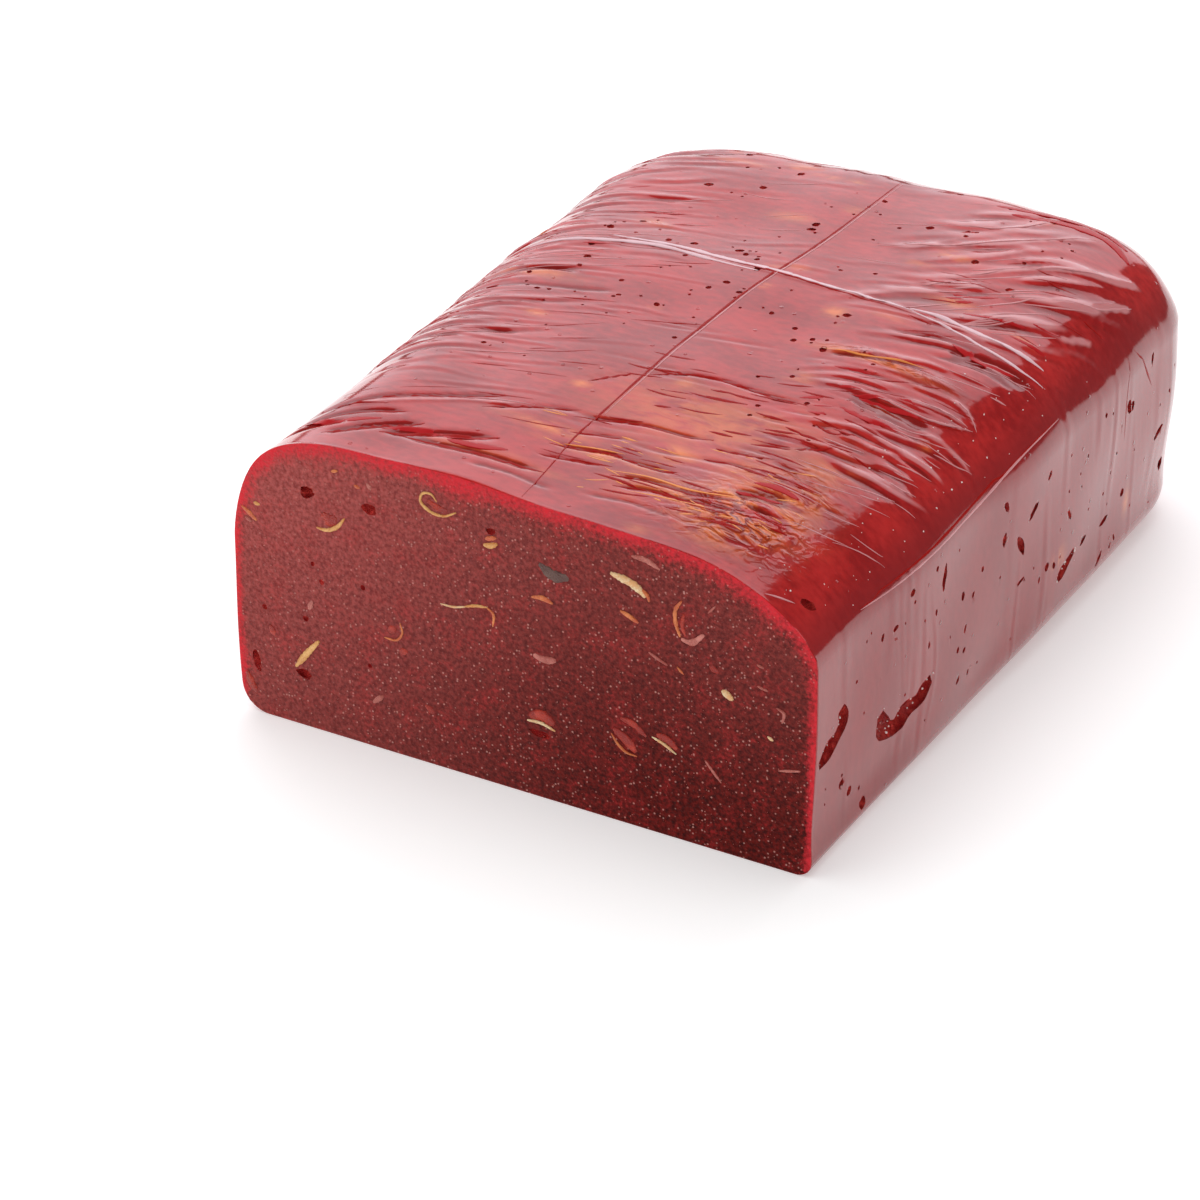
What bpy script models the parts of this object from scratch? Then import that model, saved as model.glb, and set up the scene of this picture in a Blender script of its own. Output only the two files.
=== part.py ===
"""A block of guava paste that set in a lined tray, cut square across at one end.

The block lies on its flat base. The cut end faces -Y and the rounded end faces +Y.
The origin is under the middle of the finished block, on the base. Metres, +Z up.
"""

import math
from dataclasses import dataclass

import bmesh
import bpy
import numpy as np
from mathutils import Matrix, Vector

MM = 0.001

# Driving dimensions
HALF_WIDTH = 52.6 * MM
LENGTH = 151.5 * MM
CUT_Y = -LENGTH / 2
BACK_Y = LENGTH / 2

# The rounded end, seen from above and from the side
CORNER_LEFT = 31.0 * MM
CORNER_RIGHT = 20.0 * MM
ROUND_TOP = 17.0 * MM
ROUND_BASE = 4.5 * MM
ROUND_POWER = 2.2
BACK_BULGE = 2.0 * MM

# How an outline is drawn, and where the grid's corners lie on it
OUTLINE_POINTS = 1600
FOOT_POINTS = 24
FOOT_CORNER = 12
TOP_CORNER = 0.93
LOWER_HALF = 30.0 * MM
LEAN_FADE = 6
NEAR = 0.01 * MM

# The sides spread towards the rounded end
SPREAD_LEFT = 5.8 * MM
SPREAD_RIGHT = 3.4 * MM
SPREAD_LENGTH = 115.0 * MM

# Faces of the grid across, along and up
CELLS_ACROSS = 26
CELLS_ALONG = 60
CELLS_UP = 12
ROUND_CELLS = 11

# Crowding of the cells towards the rounded feet
FOOT_CROWDING = 1.35
BASE_CROWDING = 0.7

# Soft waves of the skin
WAVE_SEED = 7
WAVE_COUNT = 9
WAVE_DEPTH = 0.26 * MM
WAVE_SHORTEST = 16.0 * MM
WAVE_LONGEST = 60.0 * MM
BASE_FADE = 9.0 * MM

# Strands, which make the folds of the skin and the peel in the cut face
STRAND_STEP = 4.0 * MM
PEEL_STEP = 1.3 * MM
STRAND_END = 0.4
PEEL_PROUD = 0.5 * MM
PROBE_HEIGHT = 80.0 * MM

# Hollows left by air
PIT_DETAIL = 2

# The paste's plain colour and finish
PASTE_COLOUR = (0.30, 0.022, 0.022, 1.0)
PASTE_ROUGHNESS = 0.3


@dataclass
class Section:
    """One section across the block, looking along +Y."""

    crown: float
    left_side: float
    right_side: float
    left_square: float
    right_square: float
    lean: float
    left_foot: float
    right_foot: float


CUT_SECTION = Section(
    crown=53.8 * MM,
    left_side=32.2 * MM,
    right_side=38.2 * MM,
    left_square=8.4,
    right_square=5.7,
    lean=0.044,
    left_foot=5.0 * MM,
    right_foot=2.8 * MM,
)
BACK_SECTION = Section(
    crown=54.9 * MM,
    left_side=35.0 * MM,
    right_side=40.2 * MM,
    left_square=7.6,
    right_square=7.1,
    lean=0.002,
    left_foot=6.0 * MM,
    right_foot=7.2 * MM,
)
LEFT_POWER = 1.6
RIGHT_POWER = 1.12
LEAN_FROM = -20.0 * MM


@dataclass
class Fold:
    """A raised fold of the skin: its route from above, its half width and how proud it stands."""

    route: tuple
    half_width: float
    proud: float


# The seam along the middle and the band across the block
LONG_SEAM = Fold(
    ((1.6, -73.0), (-1.3, -52.6), (-2.4, -16.0), (-2.0, 3.0), (0.0, 23.0), (0.8, 60.0)), 0.9, 0.35)
CROSS_BAND = Fold(
    ((-47.0, 7.5), (-28.6, 15.3), (-1.2, 14.7), (27.4, 12.2), (39.0, 12.2), (51.0, 15.6)), 1.4, 0.5)

# Shorter folds, which all run across the block
SHORT_FOLDS = (
    Fold(((-47.0, -63.8), (-31.5, -55.6), (-17.0, -48.0)), 1.1, 0.5),
    Fold(((-47.0, -70.6), (-34.0, -62.1), (-26.0, -59.2)), 1.1, 0.5),
    Fold(((-38.0, -71.2), (-30.0, -66.0), (-19.2, -63.8)), 1.0, 0.45),
    Fold(((-48.0, -45.0), (-38.0, -39.5), (-24.0, -35.0)), 1.1, 0.5),
    Fold(((-46.0, -34.0), (-36.0, -28.0), (-28.0, -25.9)), 1.0, 0.45),
    Fold(((-49.0, -18.0), (-38.0, -12.5), (-22.0, -9.5)), 1.1, 0.5),
    Fold(((-50.0, -6.0), (-40.0, -0.5), (-26.0, 2.5)), 1.1, 0.5),
    Fold(((-51.0, 24.0), (-42.0, 29.0), (-30.0, 32.0)), 1.1, 0.5),
    Fold(((-1.5, -29.5), (10.0, -24.8), (25.5, -26.0)), 1.0, 0.4),
    Fold(((-5.0, -48.2), (6.5, -44.6), (17.5, -43.0)), 1.0, 0.4),
    Fold(((-4.0, -57.8), (6.0, -55.5), (18.5, -56.0)), 1.0, 0.4),
    Fold(((33.0, -17.0), (43.5, -15.2), (50.0, -11.0)), 1.1, 0.5),
    Fold(((9.0, 34.0), (20.0, 39.0), (32.5, 50.0), (41.5, 60.0)), 1.1, 0.5),
    Fold(((36.5, 40.0), (45.5, 46.5), (51.0, 52.0)), 1.1, 0.5),
    Fold(((41.0, 30.0), (47.0, 35.0), (51.0, 40.0)), 1.0, 0.45),
)


@dataclass
class Peel:
    """A shred of peel in the cut face: its ends in x and z, its bow and its width."""

    start: tuple
    end: tuple
    bow: float
    width: float


PEELS = (
    Peel((-16.6, 49.6), (-11.0, 48.6), -3.4, 1.3),
    Peel((-35.6, 40.6), (-30.2, 39.6), -2.2, 1.3),
    Peel((-4.2, 44.6), (-2.6, 43.8), 0.3, 1.4),
    Peel((-41.6, 10.6), (-36.0, 17.8), 0.7, 1.6),
    Peel((-13.0, 30.7), (-3.0, 31.8), 0.8, 0.9),
    Peel((-23.6, 22.4), (-20.6, 23.8), -2.0, 1.0),
    Peel((18.0, 45.2), (23.4, 41.2), 0.9, 2.2),
    Peel((28.8, 42.8), (32.6, 36.2), -2.6, 1.1),
    Peel((37.6, 29.0), (39.0, 28.4), 0.2, 1.2),
    Peel((2.0, 15.0), (7.6, 12.8), 0.8, 1.9),
    Peel((17.8, 17.0), (22.2, 12.9), 0.9, 1.7),
    Peel((25.4, 18.4), (29.8, 15.7), 0.6, 1.5),
    Peel((3.6, 36.6), (7.4, 35.6), 0.4, 1.2),
    Peel((19.2, 38.4), (22.8, 37.0), 0.4, 1.1),
)


@dataclass
class Pit:
    """A hollow: its centre, its half sizes and its turn about X, in degrees."""

    centre: tuple
    half: tuple
    turn: float


# Hollows in the right side, and two in the cut face
PITS = (
    Pit((54.0, -44.6, 14.9), (1.9, 8.8, 1.7), 6.0),
    Pit((53.6, -52.4, 15.6), (1.6, 3.2, 1.3), -48.0),
    Pit((52.9, -70.6, 22.2), (1.7, 6.2, 2.0), 22.0),
    Pit((52.6, -65.8, 11.8), (1.0, 1.7, 1.0), -30.0),
    Pit((54.0, -33.6, 32.4), (0.9, 2.3, 0.7), 88.0),
    Pit((54.7, -10.9, 29.4), (0.9, 1.4, 0.7), 82.0),
    Pit((55.0, -4.6, 25.5), (1.0, 2.5, 0.8), -57.0),
    Pit((55.3, -0.4, 30.2), (0.9, 2.1, 0.7), 33.0),
    Pit((56.0, 13.8, 13.2), (1.3, 3.8, 1.1), 13.0),
    Pit((55.8, 31.1, 13.8), (0.9, 1.9, 0.7), 11.0),
    Pit((56.3, 38.3, 32.8), (1.0, 1.5, 0.9), -68.0),
    Pit((56.5, 53.0, 21.7), (0.9, 2.3, 0.7), 22.0),
    Pit((-37.0, -75.5, 44.6), (1.9, 1.8, 1.1), 0.0),
    Pit((-25.4, -75.5, 44.5), (1.4, 1.5, 1.0), 0.0),
)


def smooth(t):
    """Ease from 0 to 1."""
    t = np.clip(t, 0.0, 1.0)
    return t * t * (3.0 - 2.0 * t)


def outline(section):
    """The closed outline of a section, from the left foot over the crown to the right foot."""
    turn = np.linspace(math.pi, 0.0, OUTLINE_POINTS)
    across = np.cos(turn)
    reach = np.abs(across)
    left_rise = (1.0 - reach ** section.left_square) ** (1.0 / LEFT_POWER)
    right_rise = (1.0 - reach ** section.right_square) ** (1.0 / RIGHT_POWER)
    left = section.left_side + (section.crown - section.left_side) * left_rise
    right = section.right_side + (section.crown - section.right_side) * right_rise
    height = np.where(across < 0.0, left, right)
    beyond = np.clip(across * HALF_WIDTH - LEAN_FROM, 0.0, None)
    height = height - section.lean * beyond * (1.0 - reach ** LEAN_FADE)
    top = np.stack([across * HALF_WIDTH, height], 1)
    quarter = np.linspace(0.0, math.pi / 2, FOOT_POINTS)
    feet = []
    for side, foot in ((-1, section.left_foot), (1, section.right_foot)):
        x = side * (HALF_WIDTH - foot * (1.0 - np.sin(quarter)))
        z = foot * (1.0 - np.cos(quarter))
        feet.append(np.stack([x, z], 1))
    return np.concatenate([feet[0], top, feet[1][::-1]])


def along_path(path, share):
    """Points at shares 0 to 1 of a path's length."""
    steps = np.hypot(*np.diff(path, axis=0).T)
    length = np.concatenate([[0.0], np.cumsum(steps)])
    at = share * length[-1]
    return np.stack([np.interp(at, length, path[:, 0]), np.interp(at, length, path[:, 1])], -1)


def split_outline(section):
    """The section's left side, top, right side and base, each as a path."""
    path = outline(section)
    low = path[:, 1] < LOWER_HALF
    top_left = np.argmin(np.abs(path[:, 0] + TOP_CORNER * HALF_WIDTH) + low)
    top_right = np.argmin(np.abs(path[:, 0] - TOP_CORNER * HALF_WIDTH) + low)
    foot_right = len(path) - 1 - FOOT_CORNER
    left = path[FOOT_CORNER:top_left + 1]
    top = path[top_left:top_right + 1]
    right = path[top_right:foot_right + 1][::-1]
    base = np.concatenate([path[:FOOT_CORNER + 1][::-1], path[foot_right:][::-1]])
    return left, top, right, base


def section_points(section, a, c):
    """Place the grid's points across (a) and up (c), both -1 to 1, in a section."""
    left, top, right, base = split_outline(section)
    s = ((a + 1.0) / 2.0)[:, None]
    t = ((c + 1.0) / 2.0)[:, None]
    upper = along_path(top, s[:, 0])
    to_feet = BASE_CROWDING * np.sin(2.0 * math.pi * s[:, 0]) / (2.0 * math.pi)
    lower = along_path(base, s[:, 0] - to_feet)
    west = along_path(left, t[:, 0] ** FOOT_CROWDING)
    east = along_path(right, t[:, 0] ** FOOT_CROWDING)
    blend = (1.0 - t) * lower + t * upper + (1.0 - s) * west + s * east
    corners = (1.0 - s) * (1.0 - t) * base[0] + s * (1.0 - t) * base[-1]
    corners = corners + (1.0 - s) * t * top[0] + s * t * top[-1]
    return blend - corners


def end_drop(y, radius):
    """How far a rounding of this radius has drawn in at y."""
    t = np.clip((y - (BACK_Y - radius)) / radius, 0.0, 1.0)
    return radius * (1.0 - (1.0 - t ** ROUND_POWER) ** (1.0 / ROUND_POWER))


def length_at(b):
    """Turn the grid's place along the block, -1 to 1, into y, closer together at the rounding."""
    share = (b + 1.0) / 2.0
    straight_share = 1.0 - ROUND_CELLS / CELLS_ALONG
    straight = share / straight_share * (LENGTH - CORNER_LEFT)
    turn = (share - straight_share) / (1.0 - straight_share) * math.pi / 2
    rounded = LENGTH - CORNER_LEFT + CORNER_LEFT * np.sin(np.clip(turn, 0.0, None))
    return CUT_Y + np.where(share < straight_share, straight, rounded)


def body_points(box):
    """Move the points of a box from -1 to 1 each way to the body's form."""
    a, b, c = box.T
    y = length_at(b)
    change = smooth((y - CUT_Y) / SPREAD_LENGTH)
    front = section_points(CUT_SECTION, a, c)
    back = section_points(BACK_SECTION, a, c)
    x, z = (front + (back - front) * change[:, None]).T
    spread = np.where(x < 0.0, SPREAD_LEFT, SPREAD_RIGHT) * change
    corner = np.where(x < 0.0, end_drop(y, CORNER_LEFT), end_drop(y, CORNER_RIGHT))
    x = x * (1.0 + (spread - corner) / HALF_WIDTH)
    top = end_drop(y, ROUND_TOP)
    base = end_drop(y, ROUND_BASE)
    z = base + z * (1.0 - (top + base) / BACK_SECTION.crown)
    at_end = b > 0.999
    bulge = BACK_BULGE * (1.0 - a ** 2) * (1.0 - c ** 2)
    return np.stack([x, y + np.where(at_end, bulge, 0.0), z], 1)


def waves(points):
    """Slow, uneven waves over the skin, as heights."""
    random = np.random.default_rng(WAVE_SEED)
    total = np.zeros(len(points))
    for _ in range(WAVE_COUNT):
        heading = random.normal(size=3)
        heading = heading / np.linalg.norm(heading)
        length = random.uniform(WAVE_SHORTEST, WAVE_LONGEST)
        phase = random.uniform(0.0, 2.0 * math.pi)
        total = total + np.sin(points @ heading * 2.0 * math.pi / length + phase)
    return WAVE_DEPTH * total / math.sqrt(WAVE_COUNT / 2)


def add_relief(bm):
    """Raise the waves out of the body along its normals, less and less towards the base."""
    bm.normal_update()
    points = np.array([v.co[:] for v in bm.verts])
    height = waves(points) * smooth(points[:, 2] / BASE_FADE)
    for vert, rise in zip(bm.verts, height):
        on_cut = vert.co.y < CUT_Y + NEAR
        move = vert.normal * rise
        if on_cut:
            move.y = 0.0
        vert.co = vert.co + move


def loop_cut(bm, axis, cells):
    """Cut every edge that runs along one axis into equal parts."""
    edges = []
    for edge in bm.edges:
        run = edge.verts[1].co - edge.verts[0].co
        if abs(run[axis]) > 0.99 * run.length:
            edges.append(edge)
    bmesh.ops.subdivide_edges(bm, edges=edges, cuts=cells - 1, use_grid_fill=True)


def paste_material():
    """Dark red paste with a smooth, slightly glossy skin."""
    material = bpy.data.materials.new("guava_paste")
    material.use_nodes = True
    shader = material.node_tree.nodes["Principled BSDF"]
    shader.inputs["Base Color"].default_value = PASTE_COLOUR
    shader.inputs["Roughness"].default_value = PASTE_ROUGHNESS
    shader.inputs["Metallic"].default_value = 0.0
    return material


def make_body():
    """The block: a box cut into cells, moved to its form, with its flat faces made whole."""
    bm = bmesh.new()
    bmesh.ops.create_cube(bm, size=2.0)
    for axis, cells in enumerate((CELLS_ACROSS, CELLS_ALONG, CELLS_UP)):
        loop_cut(bm, axis, cells)
    box = np.array([v.co[:] for v in bm.verts])
    for vert, place in zip(bm.verts, body_points(box)):
        vert.co = place
    add_relief(bm)
    flat = []
    for face in bm.faces:
        on_cut = all(v.co.y < CUT_Y + NEAR for v in face.verts)
        on_base = all(v.co.z < NEAR for v in face.verts)
        if on_cut or on_base:
            flat.append(face)
    edges = {edge for face in flat for edge in face.edges}
    inner = [edge for edge in edges if all(face in flat for face in edge.link_faces)]
    inner = [edge for edge in inner if edge.calc_face_angle(1.0) < 0.001]
    bmesh.ops.dissolve_edges(bm, edges=inner, use_verts=True)
    mesh = bpy.data.meshes.new("loaf")
    bm.to_mesh(mesh)
    bm.free()
    mesh.materials.append(paste_material())
    loaf = bpy.data.objects.new("loaf", mesh)
    bpy.context.scene.collection.objects.link(loaf)
    return loaf


def even_points(route, step):
    """Points a step apart on a smooth curve through a route's points."""
    knots = np.array(route)
    at = np.concatenate([[0.0], np.cumsum(np.linalg.norm(np.diff(knots, axis=0), axis=1))])
    slopes = np.gradient(knots, at, axis=0)
    count = max(3, round(at[-1] / step) + 1)
    points = []
    for place in np.linspace(0.0, at[-1], count):
        part = min(np.searchsorted(at, place, side="right") - 1, len(at) - 2)
        run = at[part + 1] - at[part]
        t = (place - at[part]) / run
        rise = smooth(t)
        bend_in = t * (1.0 - t) ** 2 * run * slopes[part]
        bend_out = t ** 2 * (1.0 - t) * run * slopes[part + 1]
        points.append((1.0 - rise) * knots[part] + rise * knots[part + 1] + bend_in - bend_out)
    return points


def strand(name, points, radius):
    """A round strand through some points, thinner towards its ends."""
    curve = bpy.data.curves.new(name, "CURVE")
    curve.dimensions = "3D"
    curve.bevel_depth = radius
    curve.bevel_resolution = 1
    curve.use_fill_caps = True
    spline = curve.splines.new("POLY")
    spline.points.add(len(points) - 1)
    for step, (knot, point) in enumerate(zip(spline.points, points)):
        knot.co = (*point, 1.0)
        middle = math.sin(math.pi * step / (len(points) - 1))
        knot.radius = STRAND_END + (1.0 - STRAND_END) * middle ** 0.5
    shape = bpy.data.objects.new(name, curve)
    bpy.context.scene.collection.objects.link(shape)
    graph = bpy.context.evaluated_depsgraph_get()
    mesh = bpy.data.meshes.new_from_object(shape.evaluated_get(graph))
    bpy.data.objects.remove(shape)
    bpy.data.curves.remove(curve)
    return bpy.data.objects.new(name, mesh)


def make_fold(index, fold, loaf):
    """A fold laid over the block, sunk into it but for its proud part."""
    points = []
    radius = fold.half_width * MM
    for x, y in even_points(fold.route, STRAND_STEP / MM):
        above = Vector((x * MM, y * MM, PROBE_HEIGHT))
        found, place, normal, _ = loaf.ray_cast(above, Vector((0.0, 0.0, -1.0)))
        if found:
            points.append(place - normal * (radius - fold.proud * MM))
    return strand(f"fold_{index}", points, radius)


def arc_points(start, end, bow, step):
    """Points along the arc between two ends that stands bow away from their line."""
    start = np.array(start)
    end = np.array(end)
    chord = np.linalg.norm(end - start)
    side = np.array([start[1] - end[1], end[0] - start[0]]) / chord
    radius = (chord ** 2 / 4.0 + bow ** 2) / (2.0 * abs(bow))
    centre = (start + end) / 2.0 + side * (bow - math.copysign(radius, bow))
    half = math.atan2(chord / 2.0, radius - abs(bow))
    count = max(4, round(2.0 * half * radius / step) + 1)
    middle = side * math.copysign(radius, bow)
    points = []
    for turn in np.linspace(half, -half, count) * math.copysign(1.0, bow):
        x = middle[0] * math.cos(turn) - middle[1] * math.sin(turn)
        z = middle[0] * math.sin(turn) + middle[1] * math.cos(turn)
        points.append(centre + (x, z))
    return points


def make_peel(index, peel):
    """A shred of peel, pressed flat, half in and half out of the cut face."""
    points = []
    for x, z in arc_points(peel.start, peel.end, peel.bow, PEEL_STEP / MM):
        points.append((x * MM, CUT_Y, z * MM))
    shred = strand(f"peel_{index}", points, peel.width / 2 * MM)
    for vert in shred.data.vertices:
        vert.co.y = CUT_Y + (vert.co.y - CUT_Y) * PEEL_PROUD / (peel.width / 2 * MM)
    return shred


def make_pit(index, pit):
    """A rounded hollow, as the shape that is cut away."""
    bm = bmesh.new()
    bmesh.ops.create_icosphere(bm, subdivisions=PIT_DETAIL, radius=1.0)
    bmesh.ops.scale(bm, vec=Vector(pit.half) * MM, verts=bm.verts)
    turn = Matrix.Rotation(math.radians(pit.turn), 3, "X")
    bmesh.ops.rotate(bm, cent=(0.0, 0.0, 0.0), matrix=turn, verts=bm.verts)
    bmesh.ops.translate(bm, vec=Vector(pit.centre) * MM, verts=bm.verts)
    mesh = bpy.data.meshes.new(f"pit_{index}")
    bm.to_mesh(mesh)
    bm.free()
    return bpy.data.objects.new(f"pit_{index}", mesh)


def combine(loaf, shapes, operation):
    """Join shapes to the block, or cut them out of it, and keep only the result."""
    group = bpy.data.collections.new(operation)
    bpy.context.scene.collection.children.link(group)
    for shape in shapes:
        group.objects.link(shape)
    boolean = loaf.modifiers.new(operation, "BOOLEAN")
    boolean.operation = operation
    boolean.operand_type = "COLLECTION"
    boolean.collection = group
    boolean.solver = "EXACT"
    graph = bpy.context.evaluated_depsgraph_get()
    result = bpy.data.meshes.new_from_object(loaf.evaluated_get(graph))
    loaf.modifiers.remove(boolean)
    plain = loaf.data
    loaf.data = result
    bpy.data.meshes.remove(plain)
    result.name = loaf.name
    for shape in shapes:
        bpy.data.objects.remove(shape)
    bpy.data.collections.remove(group)


def centre_on_base(loaf):
    """Put the origin at the middle of the base, as the finished shape's box has it."""
    points = np.array([vert.co[:] for vert in loaf.data.vertices])
    middle = (points.min(axis=0) + points.max(axis=0)) / 2.0
    loaf.data.transform(Matrix.Translation((-middle[0], -middle[1], 0.0)))


def clear_scene():
    """Remove what the scene starts with."""
    for item in list(bpy.data.objects):
        bpy.data.objects.remove(item, do_unlink=True)


def main():
    """Build the block, then its folds and peel, then its hollows."""
    clear_scene()
    loaf = make_body()
    folds = (LONG_SEAM, CROSS_BAND, *SHORT_FOLDS)
    raised = [make_fold(index, fold, loaf) for index, fold in enumerate(folds)]
    raised += [make_peel(index, peel) for index, peel in enumerate(PEELS)]
    combine(loaf, raised, "UNION")
    combine(loaf, [make_pit(index, pit) for index, pit in enumerate(PITS)], "DIFFERENCE")
    centre_on_base(loaf)


main()
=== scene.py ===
"""The looks of a block of guava paste with one cut end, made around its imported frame."""
import math

import bmesh
import bpy
import numpy as np
from mathutils import Matrix, Vector, noise
from mathutils.bvhtree import BVHTree
from mathutils.kdtree import KDTree


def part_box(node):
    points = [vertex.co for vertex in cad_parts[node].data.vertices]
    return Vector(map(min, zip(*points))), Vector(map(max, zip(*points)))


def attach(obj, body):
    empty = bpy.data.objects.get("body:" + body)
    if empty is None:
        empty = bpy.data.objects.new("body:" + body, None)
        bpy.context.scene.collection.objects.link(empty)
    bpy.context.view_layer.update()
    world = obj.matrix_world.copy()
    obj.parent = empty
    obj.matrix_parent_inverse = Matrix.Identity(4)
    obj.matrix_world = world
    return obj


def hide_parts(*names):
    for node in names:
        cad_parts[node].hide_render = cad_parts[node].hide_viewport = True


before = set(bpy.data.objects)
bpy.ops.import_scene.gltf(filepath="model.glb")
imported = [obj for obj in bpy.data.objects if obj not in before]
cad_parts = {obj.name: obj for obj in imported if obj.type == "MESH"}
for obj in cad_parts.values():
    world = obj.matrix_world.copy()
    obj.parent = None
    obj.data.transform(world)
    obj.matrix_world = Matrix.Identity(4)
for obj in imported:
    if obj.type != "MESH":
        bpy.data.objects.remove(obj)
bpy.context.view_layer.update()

MM = 0.001

# The block, in the frame's own place
LOAF_LOW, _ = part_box("loaf")
PEEL_PROUD = 0.5 * MM
CUT_Y = LOAF_LOW.y + PEEL_PROUD
LENGTH = 151.5 * MM
BACK_Y = CUT_Y + LENGTH
MIDDLE_Y = CUT_Y + LENGTH / 2.0
HALF_WIDTH = 52.6 * MM
MIDDLE_X = 1.14 * MM

# The rounded end
CORNER_LEFT = 31.0 * MM
CORNER_RIGHT = 20.0 * MM
ROUND_TOP = 17.0 * MM
ROUND_BASE = 4.5 * MM
ROUND_POWER = 2.2
BACK_BULGE = 2.0 * MM

# The spread of the sides
SPREAD_LEFT = 5.8 * MM
SPREAD_RIGHT = 3.4 * MM
SPREAD_LENGTH = 115.0 * MM

# The grid that becomes the skin
CELLS_ACROSS = 92
CELLS_ALONG = 350
CELLS_UP = 31
ROUND_CELLS = 62
FOOT_CROWDING = 1.35
BASE_CROWDING = 0.7

# How an outline is drawn, and where the grid's corners lie on it
OUTLINE_POINTS = 1600
FOOT_POINTS = 24
FOOT_CORNER = 12
TOP_CORNER = 0.93
LOWER_HALF = 30.0 * MM
LEAN_FADE = 6
NEAR = 0.01 * MM
AT_END = 0.9999
ALONG_AXIS = 0.99

# The sections' crowns, side heights, squareness, lean and feet
CUT_SECTION = {
    "crown": 53.8 * MM, "sides": (32.2 * MM, 38.2 * MM), "square": (8.4, 5.7),
    "lean": 0.044, "feet": (5.0 * MM, 2.8 * MM),
}
BACK_SECTION = {
    "crown": 54.9 * MM, "sides": (35.0 * MM, 40.2 * MM), "square": (7.6, 7.1),
    "lean": 0.002, "feet": (6.0 * MM, 7.2 * MM),
}
SHOULDER_POWERS = (1.6, 1.12)
LEAN_FROM = -20.0 * MM

# The slow waves of the skin
WAVE_SEED = 7
WAVE_COUNT = 9
WAVE_DEPTH = 0.26 * MM
WAVE_SHORTEST = 16.0 * MM
WAVE_LONGEST = 60.0 * MM
BASE_FADE = 9.0 * MM


def smooth(t):
    """Ease from 0 to 1."""
    t = np.clip(t, 0.0, 1.0)
    return t * t * (3.0 - 2.0 * t)


def outline(section):
    """The closed outline of a section, from the left foot over the crown to the right foot."""
    across = np.cos(np.linspace(math.pi, 0.0, OUTLINE_POINTS))
    reach = np.abs(across)
    heights = []
    for side, square, power in zip(section["sides"], section["square"], SHOULDER_POWERS):
        rise = (1.0 - reach ** square) ** (1.0 / power)
        heights.append(side + (section["crown"] - side) * rise)
    height = np.where(across < 0.0, heights[0], heights[1])
    beyond = np.clip(across * HALF_WIDTH - LEAN_FROM, 0.0, None)
    height = height - section["lean"] * beyond * (1.0 - reach ** LEAN_FADE)
    top = np.stack([across * HALF_WIDTH, height], 1)
    quarter = np.linspace(0.0, math.pi / 2, FOOT_POINTS)
    feet = []
    for side, foot in zip((-1, 1), section["feet"]):
        x = side * (HALF_WIDTH - foot * (1.0 - np.sin(quarter)))
        z = foot * (1.0 - np.cos(quarter))
        feet.append(np.stack([x, z], 1))
    return np.concatenate([feet[0], top, feet[1][::-1]])


def along_path(path, share):
    """Points at shares 0 to 1 of a path's length."""
    steps = np.hypot(*np.diff(path, axis=0).T)
    length = np.concatenate([[0.0], np.cumsum(steps)])
    at = share * length[-1]
    return np.stack([np.interp(at, length, path[:, 0]), np.interp(at, length, path[:, 1])], -1)


def split_outline(section):
    """The section's left side, top, right side and base, each as a path."""
    path = outline(section)
    low = path[:, 1] < LOWER_HALF
    top_left = np.argmin(np.abs(path[:, 0] + TOP_CORNER * HALF_WIDTH) + low)
    top_right = np.argmin(np.abs(path[:, 0] - TOP_CORNER * HALF_WIDTH) + low)
    foot_right = len(path) - 1 - FOOT_CORNER
    left = path[FOOT_CORNER:top_left + 1]
    top = path[top_left:top_right + 1]
    right = path[top_right:foot_right + 1][::-1]
    base = np.concatenate([path[:FOOT_CORNER + 1][::-1], path[foot_right:][::-1]])
    return left, top, right, base


def section_points(section, a, c):
    """Place the grid's points across (a) and up (c), both -1 to 1, in a section."""
    left, top, right, base = split_outline(section)
    s = ((a + 1.0) / 2.0)[:, None]
    t = ((c + 1.0) / 2.0)[:, None]
    upper = along_path(top, s[:, 0])
    to_feet = BASE_CROWDING * np.sin(2.0 * math.pi * s[:, 0]) / (2.0 * math.pi)
    lower = along_path(base, s[:, 0] - to_feet)
    west = along_path(left, t[:, 0] ** FOOT_CROWDING)
    east = along_path(right, t[:, 0] ** FOOT_CROWDING)
    blend = (1.0 - t) * lower + t * upper + (1.0 - s) * west + s * east
    corners = (1.0 - s) * (1.0 - t) * base[0] + s * (1.0 - t) * base[-1]
    corners = corners + (1.0 - s) * t * top[0] + s * t * top[-1]
    return blend - corners


def end_drop(y, radius):
    """How far a rounding of this radius has drawn in at y."""
    t = np.clip((y - (BACK_Y - radius)) / radius, 0.0, 1.0)
    return radius * (1.0 - (1.0 - t ** ROUND_POWER) ** (1.0 / ROUND_POWER))


def length_at(b):
    """Turn the grid's place along the block, -1 to 1, into y, closer together at the rounding."""
    share = (b + 1.0) / 2.0
    straight_share = 1.0 - ROUND_CELLS / CELLS_ALONG
    straight = share / straight_share * (LENGTH - CORNER_LEFT)
    turn = (share - straight_share) / (1.0 - straight_share) * math.pi / 2
    rounded = LENGTH - CORNER_LEFT + CORNER_LEFT * np.sin(np.clip(turn, 0.0, None))
    return CUT_Y + np.where(share < straight_share, straight, rounded)


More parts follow.
